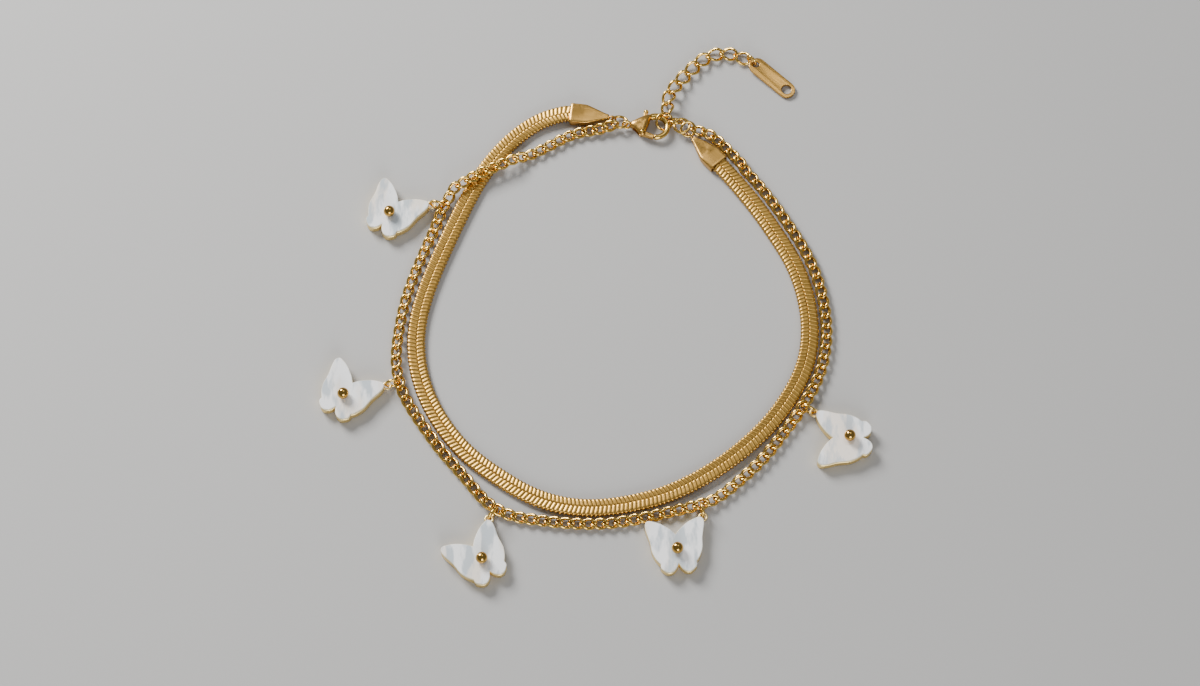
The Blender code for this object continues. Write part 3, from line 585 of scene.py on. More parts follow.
def chain_path():
    """Middle of the curb chain: its route, pushed out until it clears the band's edge except where it
    crosses over, and raised over the crossing, at the charms and at both ends by bell curves."""
    path = spline(CHAIN_ROUTE)
    line, half = strip()
    away = np.linalg.norm(path[:, None] - line[None, :, :2], axis=2)
    nearest = away.argmin(axis=1)
    forward = unit(np.gradient(line[:, :2], axis=0))[nearest]
    outward = np.column_stack([forward[:, 1], -forward[:, 0]])
    offset = ((path - line[nearest, :2]) * outward).sum(axis=1)
    along = lengths(path)
    crossing = along[np.argmax(offset > 0)]
    from_crossing = np.abs(along - crossing)
    needed = half[nearest] + mm("curb_width") / 2 + CHAIN_CLEARANCE
    side = np.where(along < crossing, -1.0, 1.0)
    away_from_crossing = smooth_step((from_crossing - CROSSING_REACH) / CLEARING_RAMP + 1)
    short = np.maximum(needed - side * offset, 0) * away_from_crossing
    path = path + (short * side)[:, None] * outward
    low = curb_half_thickness() + CHAIN_REST
    over = mm("band_thickness") + curb_half_thickness() + GAP
    inside_ramp = (CROSSING_REACH + CROSSING_RAMP - from_crossing) / CROSSING_RAMP
    height = low + (over - low) * smooth_step(inside_ramp)
    along = lengths(path)
    eyes = np.array([row[:2] for row in BUTTERFLIES])
    stations = along[np.linalg.norm(path[None] - eyes[:, None], axis=2).argmin(axis=1)]
    lifts = [LEAN_RISE * leaning(path)]
    lifts += [(CHARM_LIFT - low) * bell(along - station, CHARM_BELL) for station in stations]
    lifts.append((LEFT_CHAIN_HEIGHT - low) * bell(along, END_BELL))
    lifts.append((RIGHT_CHAIN_HEIGHT - low) * bell(along[-1] - along, END_BELL))
    return np.column_stack([path, np.maximum(height, low + np.max(lifts, axis=0))])


def curb_half_length():
    return (mm("curb_pitch") + mm("curb_wire") + CURB_PLAY) / 2


def curb_half_width():
    return (mm("curb_width") - mm("curb_wire")) / 2


def curb_half_thickness():
    one = np.zeros((1, 3))
    curve = link_curves(one, one + [1, 0, 0], curb_half_length(), curb_half_width(), 0, 90)
    return curve[..., 2].max() + mm("curb_wire") / 2


def chain_links():
    """Centre, direction and roll of each link, a pitch apart along the chain's path."""
    path = chain_path()
    total = lengths(path)[-1]
    stations = np.linspace(0, total, int(round(total / mm("curb_pitch"))) + 1)
    centres = resample(path, stations)
    roll = LEFT_CHAIN_ROLL * bell(stations, ROLL_BELL) + LEAN_ROLL * leaning(centres)
    return centres, unit(np.gradient(centres, axis=0)), roll


def curb_wires(part):
    """Wires of the curb links of one half: twisted ovals a pitch apart, the end ones a little longer."""
    centres, forward, roll = chain_links()
    middle = len(centres) // 2
    chosen = slice(0, middle) if part == "left" else slice(middle, None)
    centres, forward, roll = centres[chosen], forward[chosen], roll[chosen]
    half_length = np.full((len(centres), 1, 1), curb_half_length())
    half_length[[0, -1]] += LOOSE_STRETCH
    curves = link_curves(centres, forward, half_length, curb_half_width(), roll, LINK_POINTS)
    return wire(curves, mm("curb_wire"), LINK_SIDES)


def extender_wires():
    """Wires of the extender's links: the same twisted oval, longer and thinner."""
    path = spline(EXTENDER_ROUTE, (heading(*EXTENDER_START), heading(EXTENDER_END_HEADING)))
    stations = np.linspace(0, lengths(path)[-1], EXTENDER_LINKS)
    centres = resample(path, stations)
    forward = unit(read_at(stations, lengths(path), np.gradient(path, axis=0)))
    roll = np.interp(np.arange(EXTENDER_LINKS), [0, 3], [EXTENDER_FIRST_ROLL, 0])
    half_length = (mm("extender_length") - mm("extender_wire")) / 2
    half_width = (mm("extender_width") - mm("extender_wire")) / 2
    return wire(link_curves(centres, forward, half_length, half_width, roll, 56), mm("extender_wire"), 16)


def open_ring(centre, degrees, tilt, radius):
    """A jump ring: a round wire on a circle with a hair-fine slit between its two domed ends."""
    curve = ring_curve(centre, degrees, tilt, radius, 60, RING_SLIT / radius)
    return rounded_ends(wire(curve, mm("ring_wire"), 14, closed=False))


def superoval(count, power):
    """A rounded rectangle of half sides one: signed powers 2 / power of cosine and sine."""
    circle = round_points(turns(count) + np.pi / count)
    return np.sign(circle) * np.abs(circle) ** (2 / power)


def cap_sleeve(mouth, axis):
    """Sleeve of an end cap: a rounded rectangle carried from the pocket's floor out to the mouth, over a
    rolled lip and back along the outside, where its width and thickness follow the cap's shares."""
    side = left_of(axis)
    half_thick = mm("band_thickness") / 2 + GAP + CAP_WALL
    pocket = [mm("band_width") / 2 + GAP, mm("band_thickness") / 2 + GAP]
    shares = np.array(CAP_SHARES)
    station = np.r_[np.linspace(0.015, 0.34, 8), np.linspace(0.37, 0.45, 7), np.linspace(0.50, 0.90, 12),
                    np.linspace(0.93, 0.985, 4)]
    blur = np.linspace(-0.025, 0.025, 5)[:, None]
    wide = cap_half_width(np.interp(station + blur, shares[:, 0], shares[:, 1]).mean(axis=0))
    thick_share = np.interp(station + blur, shares[:, 0], shares[:, 2]).mean(axis=0)
    thick = CAP_NOSE_THICKNESS / 2 + thick_share * (half_thick - CAP_NOSE_THICKNESS / 2)
    outside = np.column_stack([station * CAP_LENGTH - GAP, wide, thick])
    inside = [(CAP_POCKET, *pocket), (0.5, *pocket), (-GAP + 0.06, *pocket)]
    lip = [(-GAP, pocket[0] + CAP_LIP, pocket[1] + CAP_LIP),
           (-GAP, outside[0, 1] - CAP_LIP, outside[0, 2] - CAP_LIP)]
    nose = [(CAP_LENGTH - GAP, wide[-1] * 0.85, thick[-1] * 0.85)]
    rows = np.vstack([inside, lip, outside, nose])
    profile = superoval(56, 7)
    points = (mouth + rows[:, None, :1] * axis + (profile[None, :, :1] * rows[:, None, 1:2]) * side
              + (profile[None, :, 1:] * rows[:, None, 2:]) * [0, 0, 1])
    return shut(points)


def ball(centre, radius, rows=18, columns=28):
    """A sphere: latitude from pole to pole and longitude round it."""
    latitude = np.radians(np.linspace(-90, 90, rows))[:, None, None]
    turn = turns(columns)[None, :, None]
    shape = np.concatenate([np.cos(latitude) * np.cos(turn), np.cos(latitude) * np.sin(turn),
                            np.sin(latitude) + 0 * turn], axis=-1)
    return np.array(centre) + radius * shape


def hook_surface():
    """The hook: an oval tube carried round an arc, thick where it leaves the body and finer at its tip."""
    angle = np.radians(np.linspace(HOOK_START, HOOK_END, 60))[:, None, None]
    turn = turns(24)[None, :, None]
    share = np.linspace(0, 1, 60)[:, None, None]
    thick = mm("hook_wire") / 2 * (HOOK_ROOT - HOOK_TAPER * smooth_step(share * HOOK_TAPER_RATE))
    reach = HOOK_RADIUS + thick * np.cos(turn)
    height = HOOK_DEPTH * thick * np.sin(turn) + 0 * angle
    points = np.concatenate([reach * np.cos(angle), reach * np.sin(angle), height], axis=-1)
    return rounded_ends(points + CLASP_PLACE, 5)


def smooth_outline(points, count=160, keep=0.35):
    """A closed outline through the points, its corners eased by averaging over a short stretch."""
    loop = np.vstack([points, points[:1]]).astype(float)
    total = lengths(loop)[-1]
    along = np.linspace(0, total, count, endpoint=False)
    blur = np.linspace(-keep / 2, keep / 2, 9)[:, None]
    return resample(loop, (along + blur) % total).mean(axis=0)


def crowned(outline, rows=14, power=2.6):
    """A crowned plate inside an outline: rings shrink towards the middle by cosine and rise by sine, each
    to the power 2 / power, from the lower middle out to the rim and back to the upper middle."""
    angle = np.radians(np.linspace(-90, 90, 2 * rows + 1))[:, None, None]
    shrink = np.abs(np.cos(angle)) ** (2 / power)
    rise = np.sign(angle) * np.abs(np.sin(angle)) ** (2 / power)
    middle = outline.mean(axis=0)
    flat = middle + shrink * (outline - middle)
    return np.concatenate([flat, mm("body_thickness") / 2 * rise + 0 * flat[..., :1]], axis=-1)


def plate_mesh(name, outlines, thickness, bevel, place, degrees, slope=0.0):
    """A flat plate from closed outlines, holes among them, as a bevelled 2-D curve made into a mesh, turned
    to its heading and moved to its place. Height changes by the slope times the distance along it."""
    curve = bpy.data.curves.new(name, "CURVE")
    curve.dimensions = "2D"
    curve.fill_mode = "BOTH"
    curve.extrude = (thickness / 2 - bevel) * MM
    curve.bevel_depth = bevel * MM
    curve.bevel_resolution = 3
    curve.offset = -bevel * MM
    for outline in outlines:
        line = curve.splines.new("POLY")
        line.points.add(len(outline) - 1)
        flat = np.column_stack([outline * MM, np.zeros(len(outline)), np.ones(len(outline))])
        line.points.foreach_set("co", flat.ravel())
        line.use_cyclic_u = True
    holder = bpy.data.objects.new(name, curve)
    bpy.context.scene.collection.objects.link(holder)
    graph = bpy.context.evaluated_depsgraph_get()
    mesh = bpy.data.meshes.new_from_object(holder.evaluated_get(graph))
    bpy.data.objects.remove(holder)
    bpy.data.curves.remove(curve)
    weld(mesh, outwards=True)
    points = np.empty(len(mesh.vertices) * 3)
    mesh.vertices.foreach_get("co", points)
    points = points.reshape(-1, 3) / MM
    along = heading(degrees)
    up = points[:, 2:] + slope * points[:, :1]
    placed = points[:, :1] * along + points[:, 1:2] * left_of(along) + up * [0, 0, 1] + place
    mesh.vertices.foreach_set("co", ((placed + layout_shift()) * MM).ravel())
    mesh.update()
    return mesh


def round_points(angle):
    return np.column_stack([np.cos(angle), np.sin(angle)])


def round_outline(centre, radius, count=40):
    return np.array(centre) + radius * round_points(turns(count))


def cut(obj, tools):
    """The object's mesh after an exact boolean with each tool, which is then removed."""
    for tool in tools:
        modifier = obj.modifiers.new("cut", "BOOLEAN")
        modifier.operation = "DIFFERENCE"
        modifier.object = tool
        graph = bpy.context.evaluated_depsgraph_get()
        mesh = bpy.data.meshes.new_from_object(obj.evaluated_get(graph))
        obj.modifiers.remove(modifier)
        obj.data = mesh
        bpy.data.objects.remove(tool)
    obj.data.shade_smooth()
    obj.data.set_sharp_from_angle(angle=np.radians(40))


def tool_of(outline, reach):
    """A plain prism for cutting, which reaches as far below the clasp's middle as above it."""
    ring = np.column_stack([outline, np.full(len(outline), CLASP_HEIGHT)]) + CLASP_PLACE * [1, 1, 0]
    grid = shut(np.stack([ring - [0, 0, reach], ring + [0, 0, reach]]))
    tool = bpy.data.objects.new("tool", grid_mesh("tool", [(grid, False)]))
    bpy.context.scene.collection.objects.link(tool)
    return tool


def wing_size():
    """What the shares of a butterfly's points are multiplied by: its half span and its height."""
    return np.array([mm("wing_span") / 2, mm("wing_height")])


def wing_outline(count=260):
    """The butterfly's outline, evenly spaced: a spline through each run of the right half, and its mirror."""
    runs = [spline(run * wing_size(), step=0.02) for run in WING_RUNS]
    right = np.vstack([runs[0], runs[1][1:]])
    loop = np.vstack([right, (right * (-1, 1))[::-1][1:]])
    return resample(loop, np.linspace(0, lengths(loop)[-1], count, endpoint=False))[::-1]


def turned(outline, degrees):
    spin = np.radians(degrees)
    return outline @ np.array([[np.cos(spin), np.sin(spin)], [-np.sin(spin), np.cos(spin)]])


def rimmed_plate(outline, seat, low, high, bevel, hole=0.0):
    """A flat plate: rings run from the hole, or the middle, out over a bevelled rim and back, and each ring
    is the outline shrunk towards the middle by a share, at its height."""
    reach = np.linalg.norm(outline, axis=1, keepdims=True)
    inner = outline / reach * hole
    shares = [(0.0, low), (0.5, low), (1.0, low), (1.0, low),
              (1.0, high), (1.0, high), (0.5, high), (0.0, high)]
    step = np.roll(outline, -1, axis=0) - np.roll(outline, 1, axis=0)
    normal = unit(np.column_stack([-step[:, 1], step[:, 0]]))
    cuts = [0, 0.5 * bevel, bevel, 0, 0, bevel, 0.5 * bevel, 0]
    lifts = [0, 0, 0, bevel, -bevel, 0, 0, 0]
    rings = []
    for (share, z), inset, lift in zip(shares, cuts, lifts):
        flat = inner + share * (outline - inner) + inset * normal
        rings.append(np.column_stack([flat + seat, np.full(len(flat), z + lift)]))
    return np.stack(rings)


def butterfly_places():
    """Where each butterfly's jump ring stands and points, and where the butterfly lies and how it is turned:
    the ring holds the chain link nearest to the eye, and the eye hangs on the ring's far side."""
    eye_place = WING_EYE * wing_size()
    centres, forward, _ = chain_links()
    places = []
    for x, y, turn in BUTTERFLIES:
        eye = np.array([x, y])
        k = np.linalg.norm(centres[:, :2] - eye, axis=1).argmin()
        link = centres[k, :2]
        run = unit(forward[k, :2])
        across = np.array([run[1], -run[0]])
        across *= np.sign(np.dot(eye - link, across))
        furthest = RING_SLIDE * mm("curb_pitch")
        slide = np.clip(np.dot(eye - link, run), -furthest, furthest)
        toward = unit(across * CHARM_REACH + run * slide)
        ring = link + toward * CHARM_RING_RADIUS
        seat = link + toward * CHARM_REACH
        aim = np.degrees(np.arctan2(toward[1], toward[0]))
        places.append((ring, aim, seat - turned(eye_place, turn - 90), turn - 90))
    return places


def new_group(name, inputs, outputs):
    """A shader node group with named sockets, and its two end nodes."""
    group = bpy.data.node_groups.new(name, "ShaderNodeTree")
    for label, kind, value in inputs:
        socket = group.interface.new_socket(label, in_out="INPUT", socket_type=kind)
        if value is not None:
            socket.default_value = value
    for label, kind in outputs:
        group.interface.new_socket(label, in_out="OUTPUT", socket_type=kind)
    return group, group.nodes.new("NodeGroupInput"), group.nodes.new("NodeGroupOutput")


def feed(tree, node, values):
    """Sets a node's inputs by name or number: a constant goes into the input, anything else is linked."""
    for key, value in values.items():
        if isinstance(value, (int, float, tuple)):
            node.inputs[key].default_value = value
        else:
            tree.links.new(value, node.inputs[key])


def math_node(tree, operation, *values):
    node = tree.nodes.new("ShaderNodeMath")
    node.operation = operation
    feed(tree, node, dict(enumerate(values)))
    return node.outputs[0]


def mix_colour(tree, factor, first, second):
    node = tree.nodes.new("ShaderNodeMix")
    node.data_type = "RGBA"
    feed(tree, node, {"Factor": factor, 6: first, 7: second})
    return node.outputs[2]


def noise_node(tree, vector, scale, detail=3.0):
    node = tree.nodes.new("ShaderNodeTexNoise")
    feed(tree, node, {"Vector": vector, "Scale": scale, "Detail": detail})
    return node.outputs["Fac"]


def wear_and_shade_group():
    """Handled metal with painted shade: wide soft clouds darken the colour a little, and the Shade and grain
    input darkens it more, as painted shade in the band's grooves and as grain on brushed pieces; finer clouds
    change gloss and height.
    """
    group, start, end = new_group(
        "handled_and_shaded_metal",
        [("Vector", "NodeSocketVector", None), ("Colour", "NodeSocketColor", (1, 1, 1, 1)),
         ("Worn and shaded colour", "NodeSocketColor", (1, 1, 1, 1)), ("Amount", "NodeSocketFloat", 0.5),
         ("Roughness", "NodeSocketFloat", 0.2), ("Shade and grain", "NodeSocketFloat", 0.0)],
        [("Colour", "NodeSocketColor"), ("Roughness", "NodeSocketFloat"), ("Height", "NodeSocketFloat")])
    broad = noise_node(group, start.outputs["Vector"], 450.0)
    fine = noise_node(group, start.outputs["Vector"], 2600.0, 4.0)
    cloud = math_node(group, "SMOOTH_MAX", math_node(group, "MULTIPLY_ADD", broad, 2.6, -0.95), 0.0, 0.1)
    share = math_node(group, "MULTIPLY", cloud, start.outputs["Amount"])
    share = math_node(group, "MINIMUM", math_node(group, "ADD", share, start.outputs["Shade and grain"]), 1.0)
    colour = mix_colour(group, share, start.outputs["Colour"], start.outputs["Worn and shaded colour"])
    spread = math_node(group, "MULTIPLY_ADD", fine, 0.18, -0.09)
    spread = math_node(group, "ADD", spread, math_node(group, "MULTIPLY", share, 0.10))
    rough = math_node(group, "ADD", start.outputs["Roughness"], spread)
    rough = math_node(group, "MAXIMUM", rough, 0.06)
    feed(group, end, {"Colour": colour, "Roughness": rough, "Height": fine})
    return group


def grain_group():
    """Brushing: noise drawn out along the first axis of the vector, in a broad and a fine band of lines."""
    group, start, end = new_group(
        "brushed_grain",
        [("Vector", "NodeSocketVector", None), ("Fineness", "NodeSocketFloat", 6000.0),
         ("Stretch", "NodeSocketFloat", 0.04)],
        [("Height", "NodeSocketFloat"), ("Tone", "NodeSocketFloat")])
    stretch = group.nodes.new("ShaderNodeCombineXYZ")
    feed(group, stretch, {"X": start.outputs["Stretch"], "Y": 1.0, "Z": 1.0})
    drawn = group.nodes.new("ShaderNodeVectorMath")
    drawn.operation = "MULTIPLY"
    feed(group, drawn, {0: start.outputs["Vector"], 1: stretch.outputs[0]})
    fineness = start.outputs["Fineness"]
    fine = noise_node(group, drawn.outputs[0], fineness, 2.0)
    broad = noise_node(group, drawn.outputs[0], math_node(group, "MULTIPLY", fineness, 0.3), 2.0)
    both = math_node(group, "MULTIPLY", math_node(group, "ADD", broad, fine), 0.5)
    tone = math_node(group, "MAXIMUM", math_node(group, "MULTIPLY_ADD", both, 6.0, -2.55), 0.0)
    feed(group, end, {"Height": both, "Tone": math_node(group, "MINIMUM", tone, 1.0)})
    return group


def shared_group(name):
    makers = {"handled_and_shaded_metal": wear_and_shade_group, "brushed_grain": grain_group}
    return bpy.data.node_groups.get(name) or makers[name]()


def place_group(tree, name, vector, values):
    node = tree.nodes.new("ShaderNodeGroup")
    node.node_tree = shared_group(name)
    feed(tree, node, {"Vector": vector, **values})
    return node


def blank(name):
    """A new material with its tree, its shader and its object coordinates."""
    material = bpy.data.materials.new(name)
    material.use_nodes = True
    tree = material.node_tree
    place = tree.nodes.new("ShaderNodeTexCoord")
    return material, tree, tree.nodes["Principled BSDF"], place.outputs["Object"]


def solid(name):
    """A colour of the panel, opaque."""
    return (*getattr(colours(), name), 1)


def bump(tree, shader, height, depth, strength=1.0):
    node = tree.nodes.new("ShaderNodeBump")
    feed(tree, node, {"Strength": strength, "Distance": depth * MM, "Height": height})
    feed(tree, shader, {"Normal": node.outputs["Normal"]})


def metal_values(wear):
    """What a metal's shader takes from its group of wear."""
    return {"Base Color": wear.outputs["Colour"], "Roughness": wear.outputs["Roughness"], "Metallic": 1.0}


def polished_gold(name="polished_gold", colour="gold", roughness=0.14, amount=0.35, shaded_grooves=False):
    """Bright gold with faint clouds of wear. On woven pieces the grooves are deeper in colour by their depth:
    painted shade.
    """
    found = bpy.data.materials.get(name)
    if found:
        return found
    material, tree, shader, place = blank(name)
    values = {"Colour": solid(colour), "Worn and shaded colour": solid("worn_and_shaded_gold"), "Amount": amount,
              "Roughness": roughness}
    if shaded_grooves:
        # Painted shade: the band's grooves darken by their depth.
        groove = tree.nodes.new("ShaderNodeAttribute")
        groove.attribute_name = "groove"
        values["Shade and grain"] = math_node(tree, "MULTIPLY", groove.outputs["Fac"], 0.8)
    node = place_group(tree, "handled_and_shaded_metal", place, values)
    feed(tree, shader, metal_values(node))
    bump(tree, shader, node.outputs["Height"], 0.004, 0.6)
    return material


def brushed_gold(name, degrees, fineness=7000.0, roughness=0.28):
    """Satin gold: fine lines along a heading, in its height, its tone and its gloss."""
    material, tree, shader, place = blank(name)
    mapping = tree.nodes.new("ShaderNodeMapping")
    feed(tree, mapping, {"Vector": place, "Rotation": (0.0, 0.0, -np.radians(degrees))})
    grain = place_group(tree, "brushed_grain", mapping.outputs[0], {"Fineness": fineness, "Stretch": 0.03})
    wear = place_group(tree, "handled_and_shaded_metal", place, {
        "Colour": solid("brushed"), "Worn and shaded colour": solid("worn_and_shaded_gold"), "Amount": 0.12,
        "Roughness": roughness, "Shade and grain": math_node(tree, "MULTIPLY", grain.outputs["Tone"], 0.32)})
    feed(tree, shader, {**metal_values(wear), "Anisotropic": 0.4})
    bump(tree, shader, grain.outputs["Height"], 0.03, 0.8)
    return material


def white_shell():
    """Mother of pearl: warm and grey green streaks of noise on a white ground, and cream painted where the
    normal turns away from upright for the gold backing's light that the plate's edge picks up, under a clear
    gloss."""
    material, tree, shader, place = blank("white_shell")
    mapping = tree.nodes.new("ShaderNodeMapping")
    turn = (0.0, 0.0, np.radians(38))
    feed(tree, mapping, {"Vector": place, "Rotation": turn, "Scale": (1.0, 0.32, 1.0)})
    streak = noise_node(tree, mapping.outputs[0], 520.0, 5.0)
    band = noise_node(tree, mapping.outputs[0], 230.0, 3.0)
    fine = noise_node(tree, mapping.outputs[0], 2200.0, 4.0)
    colour = solid("shell")
    for noise, most, name in ((band, 0.8, "blush"), (streak, 0.9, "mist")):
        share = math_node(tree, "MAXIMUM", math_node(tree, "MULTIPLY_ADD", noise, 9.0, -4.3), 0.0)
        colour = mix_colour(tree, math_node(tree, "MINIMUM", share, most), colour, solid(name))
    # Painted light: cream mixed in by how far the normal turns from upright, for the gold backing's light on
    # the shell's edge.
    normal = tree.nodes.new("ShaderNodeSeparateXYZ")
    feed(tree, normal, {0: tree.nodes.new("ShaderNodeNewGeometry").outputs["Normal"]})
    edge = math_node(tree, "SUBTRACT", 1.0, math_node(tree, "ABSOLUTE", normal.outputs["Z"]))
    colour = mix_colour(tree, edge, colour, solid("edge"))
    rough = math_node(tree, "MULTIPLY_ADD", fine, 0.2, 0.14)
    feed(tree, shader, {"Base Color": colour, "Roughness": rough, "Coat Weight": 0.6, "Coat Roughness": 0.08})
    bump(tree, shader, streak, 0.02, 0.4)
    return material


def pale_floor():
    material, tree, shader, place = blank("pale_floor")
    cloud = noise_node(tree, place, 14.0, 3.0)
    tone = tuple(0.96 * channel for channel in colours().floor)
    colour = mix_colour(tree, cloud, solid("floor"), (*tone, 1))
    feed(tree, shader, {"Base Color": colour, "Roughness": 0.85})
    return material


class BRACELET_OT_band(bpy.types.Operator):
    """Makes the herringbone band"""

    bl_idname = "bracelet.band"
    bl_label = "Herringbone band"

    def execute(self, context):
        grid, groove_shade = band_surface()
        mesh = grid_mesh("woven_band", [(grid, False)])
        # Groove depth at each point, which the material turns into painted shade.
        attribute = mesh.attributes.new("groove", "FLOAT", "POINT")
        attribute.data.foreach_set("value", groove_shade.ravel().astype(np.float32))
        material = polished_gold("woven_gold", "woven", 0.33, 0.3, shaded_grooves=True)
        finished("woven_band", mesh, material, ["herringbone_band"])
        return {"FINISHED"}


class BRACELET_OT_chains(bpy.types.Operator):
    """Makes both halves of the curb chain and the extender"""

    bl_idname = "bracelet.chains"
    bl_label = "Chains"

    def execute(self, context):
        material = polished_gold()
        for part in ("left", "right"):
            piece("curb_links_" + part, [(curb_wires(part), True)], material, ["curb_chain_" + part])
        nodes = [f"extender_link_{k + 1}" for k in range(EXTENDER_LINKS)]
        piece("extender_links", [(extender_wires(), True)], material, nodes)
        return {"FINISHED"}


class BRACELET_OT_rings(bpy.types.Operator):
    """Makes the plain rings by the clasp, by the tag and above each butterfly"""

    bl_idname = "bracelet.rings"
    bl_label = "Jump rings"

    def execute(self, context):
        material = polished_gold()
        for name, place in RINGS.items():
            piece("open_" + name, [(open_ring(*place), False)], material, [name])
        direction = heading(TAG_HEADING)
        centre = TAG_PLACE + (TAG_HOLES[0][0] - TAG_RING_RADIUS - GAP / 2) * direction
        centre[2] = TAG_RING_RADIUS + mm("ring_wire") / 2 + FLOOR_GAP
        grid = open_ring(centre, TAG_HEADING, 90, TAG_RING_RADIUS)
        piece("open_tag_ring", [(grid, False)], material, ["tag_ring"])
        height = CHARM_RING_RADIUS + mm("ring_wire") / 2 + FLOOR_GAP
        for k, (ring, aim, _, _) in enumerate(butterfly_places()):
            grid = open_ring((*ring, height), aim, 90, CHARM_RING_RADIUS)
            piece(f"open_ring_{k + 1}", [(grid, False)], material, [f"butterfly_{k + 1}_ring"])
        return {"FINISHED"}


class BRACELET_OT_caps(bpy.types.Operator):
    """Makes the two brushed end caps"""

    bl_idname = "bracelet.caps"
    bl_label = "End caps"

    def execute(self, context):
        _, left, right = band_path()
        sides = zip(("left", "right"), (left, right), CAP_EYES, CAP_HEADINGS)
        for part, (mouth, axis), (place, tilt), degrees in sides:
            eye = wire(ring_curve(place, degrees, tilt, EYE_RADIUS), EYE_WIRE, 14)
            material = brushed_gold("brushed_cap_" + part, degrees)
            piece("brushed_cap_" + part, [(cap_sleeve(mouth, axis), False), (eye, True)], material,
                  ["end_cap_" + part], sharp=35)
        return {"FINISHED"}


class BRACELET_OT_clasp(bpy.types.Operator):
    """Makes the lobster clasp: its body with the hook, its lever and its pin"""

    bl_idname = "bracelet.clasp"
    bl_label = "Lobster clasp"

    def execute(self, context):
        satin = brushed_gold("brushed_clasp", 62.0)
        bright = polished_gold()
        body_grid = crowned(smooth_outline(CLASP_BODY)) + CLASP_PLACE
        body = piece("clasp_shell", [(body_grid, False)], satin, ["clasp_body"])
        slot_half = mm("lever_thickness") / 2 + GAP
        around = mm("body_thickness")
        bore = round_outline(PIVOT, PIN_RADIUS + GAP)
        cut(body, [tool_of(np.array(SLOT, float), slot_half), tool_of(bore, around)])
        eye = ring_curve(CLASP_PLACE + [*TAIL_EYE, 0], 0, TAIL_EYE_TILT, TAIL_EYE_RADIUS)
        hook = [(hook_surface(), False), (wire(eye, TAIL_EYE_WIRE, 16), True)]
        piece("clasp_hook", hook, bright, ["clasp_body"])
        lever = smooth_outline(LEVER, 200, 0.16)[::-1] - PIVOT
        seat = CLASP_PLACE + [*PIVOT, 0]
        outlines = [lever, round_outline((0, 0), PIN_RADIUS + GAP)]
        mesh = plate_mesh("clasp_gate", outlines, mm("lever_thickness"), LEVER_BEVEL, seat, 0.0)
        finished("clasp_gate", mesh, satin, ["clasp_lever"], "lever")
        nub = ball(CLASP_PLACE + [*NUB, 0], NUB_RADIUS)
        piece("clasp_nub", [(nub, False)], bright, ["clasp_lever"], "lever")
        end = mm("body_thickness") / 2
        pin = [np.column_stack([round_outline((0, 0), share * PIN_RADIUS, 32), np.full(32, rise * end)])
               for rise, share in PIN_PROFILE]
        piece("clasp_rivet", [(shut(np.stack(pin) + seat), False)], bright, ["clasp_pin"])
        return {"FINISHED"}


class BRACELET_OT_tag(bpy.types.Operator):
    """Makes the brushed tag at the end of the extender"""

    bl_idname = "bracelet.tag"
    bl_label = "Tag"

    def execute(self, context):
        reach = mm("tag_length") / 2 - mm("tag_width") / 2
        right = [reach, 0] + mm("tag_width") / 2 * round_points(np.radians(np.linspace(-90, 90, 48)))
        outlines = [np.vstack([right, -right])]
        outlines += [round_outline((place, 0), radius, 48) for place, radius in TAG_HOLES]
        seat = TAG_PLACE + [0, 0, (mm("tag_thickness") + TAG_RISE) / 2 + FLOOR_GAP]
        mesh = plate_mesh("tag", outlines, mm("tag_thickness"), TAG_BEVEL, seat, TAG_HEADING,
                          -TAG_RISE / mm("tag_length"))
        finished("tag_plate", mesh, brushed_gold("brushed_tag", TAG_HEADING, 7500.0, 0.27), ["tag"])
        return {"FINISHED"}


class BRACELET_OT_butterflies(bpy.types.Operator):
    """Makes the five butterflies, each a gold backing, a shell plate and a gold ball"""

    bl_idname = "bracelet.butterflies"
    bl_label = "Butterflies"

    def execute(self, context):
        # Painted reflection: the balls' gold is darkened to stand for a dark reflection.
        dark = polished_gold("dark_reflection_ball_gold", "ball_gold_dark_reflection", 0.12, 0.3)
        # Painted light: a satin gold, made paler so that the backings' rims look lit.
        satin = polished_gold("rim_gold_painted_light", "rim", 0.42, 0.15)
        pearl = white_shell()
        outline = wing_outline()
        low = FLOOR_GAP + mm("backing_thickness") + GAP / 2
        top = low + mm("shell_thickness")
        radius = mm("centre_ball") / 2
        height = top + GAP / 2 + np.sqrt(radius ** 2 - (PIN_STEM / 2) ** 2)
        eye_place = WING_EYE * wing_size()
        for k, (_, _, seat, turn) in enumerate(butterfly_places()):
            shape = turned(outline, turn)
            backing = rimmed_plate(shape, seat, FLOOR_GAP, low - GAP / 2, BACKING_BEVEL)
            shell = rimmed_plate(shape, seat, low, top, SHELL_BEVEL, PIN_STEM / 2 + GAP)
            eye = ring_curve((*(seat + turned(eye_place, turn)), EYE_HEIGHT), turn + 45, 0, EYE_RADIUS)
            head = ball((*seat, height), radius, 24, 40)
            stem = round_outline((0, 0), PIN_STEM / 2, 20)
            stem = np.stack([np.column_stack([stem + seat, np.full(20, z)])
                             for z in (low - STEM_DEPTH, height)])
            node = f"butterfly_{k + 1}_backing"
            wings = [(backing, False), (wire(eye, EYE_WIRE, 14), True)]
            piece(f"gold_wings_{k + 1}", wings, satin, [node], sharp=40)
            piece(f"gold_ball_{k + 1}", [(head, False), (shut(stem), False)], dark, [node])
            piece(f"shell_wings_{k + 1}", [(shell, True)], pearl, [f"butterfly_{k + 1}_shell"], sharp=40)
        return {"FINISHED"}


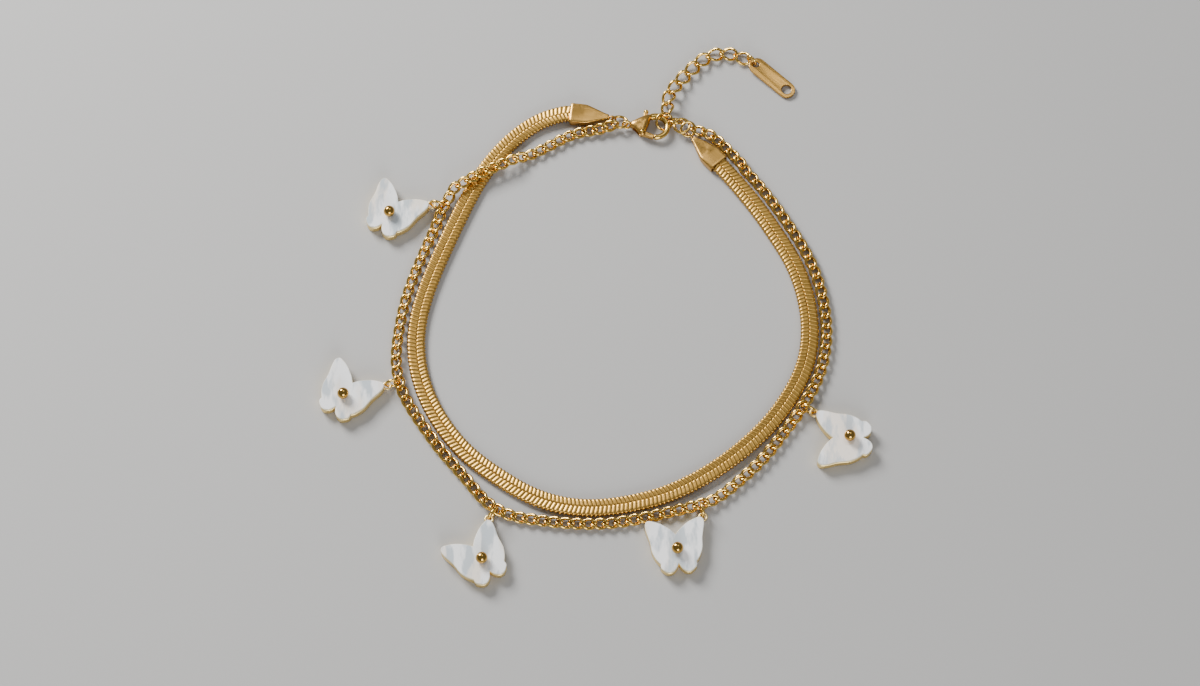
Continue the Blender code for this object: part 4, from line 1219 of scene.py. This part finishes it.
class BRACELET_OT_stage(bpy.types.Operator):
    """Makes the pale floor, the soft lights and the camera"""

    bl_idname = "bracelet.stage"
    bl_label = "Floor, lights and camera"

    def execute(self, context):
        mesh = bpy.data.meshes.new("floor")
        far = FLOOR_SIZE / 2
        mesh.from_pydata([(-far, -far, 0), (far, -far, 0), (far, far, 0), (-far, far, 0)], [], [(0, 1, 2, 3)])
        mesh.materials.append(pale_floor())
        floor = bpy.data.objects.new("floor", mesh)
        context.scene.collection.objects.link(floor)
        world = bpy.data.worlds.new("studio")
        world.use_nodes = True
        background = world.node_tree.nodes["Background"]
        feed(world.node_tree, background, {"Color": ROOM_COLOUR, "Strength": ROOM_STRENGTH})
        context.scene.world = world
        middle = layout_shift() * MM * [1, 1, 0]
        for name, azimuth, height, distance, size, power in LIGHTS:
            light = bpy.data.lights.new(name, "AREA")
            light.size = size
            light.energy = power
            lamp = bpy.data.objects.new(name, light)
            context.scene.collection.objects.link(lamp)
            level, up = np.cos(np.radians(height)), np.sin(np.radians(height))
            direction = np.append(level * heading(azimuth)[:2], up)
            lamp.location = middle + distance * direction
            lamp.rotation_euler = (np.pi / 2 - np.radians(height), 0, np.radians(azimuth) + np.pi / 2)
        lens = bpy.data.cameras.new("camera")
        lens.lens = CAMERA_LENS
        lens.sensor_width = CAMERA_SENSOR
        lens.clip_start = 0.01
        camera = bpy.data.objects.new("camera", lens)
        context.scene.collection.objects.link(camera)
        pitch = np.radians(CAMERA_ELEVATION)
        camera.location = middle + CAMERA_DISTANCE * np.array([0, -np.cos(pitch), np.sin(pitch)])
        camera.rotation_euler = (np.pi / 2 - pitch, 0, 0)
        context.scene.camera = camera
        return {"FINISHED"}


class BRACELET_PT_panel(bpy.types.Panel):
    """Lists the pieces of the bracelet with their sizes and colours"""

    bl_idname = "BRACELET_PT_panel"
    bl_label = "Butterfly bracelet"
    bl_space_type = "VIEW_3D"
    bl_region_type = "UI"
    bl_category = "Bracelet"

    def draw(self, context):
        for operator in OPERATORS:
            self.layout.operator(operator.bl_idname)
        for group in (context.scene.bracelet_sizes, context.scene.bracelet_colours):
            box = self.layout.box()
            for name in group.__annotations__:
                box.prop(group, name)


OPERATORS = (
    BRACELET_OT_band,
    BRACELET_OT_chains,
    BRACELET_OT_rings,
    BRACELET_OT_caps,
    BRACELET_OT_clasp,
    BRACELET_OT_tag,
    BRACELET_OT_butterflies,
    BRACELET_OT_stage,
)
CLASSES = (BRACELET_PG_sizes, BRACELET_PG_colours, *OPERATORS, BRACELET_PT_panel)


def register():
    for one in CLASSES:
        bpy.utils.register_class(one)
    bpy.types.Scene.bracelet_sizes = bpy.props.PointerProperty(type=BRACELET_PG_sizes)
    bpy.types.Scene.bracelet_colours = bpy.props.PointerProperty(type=BRACELET_PG_colours)


def unregister():
    del bpy.types.Scene.bracelet_colours
    del bpy.types.Scene.bracelet_sizes
    for one in reversed(CLASSES):
        bpy.utils.unregister_class(one)


def main():
    register()
    bpy.ops.bracelet.band()
    bpy.ops.bracelet.chains()
    bpy.ops.bracelet.rings()
    bpy.ops.bracelet.caps()
    bpy.ops.bracelet.clasp()
    bpy.ops.bracelet.tag()
    bpy.ops.bracelet.butterflies()
    bpy.ops.bracelet.stage()


if __name__ == "__main__":
    main()
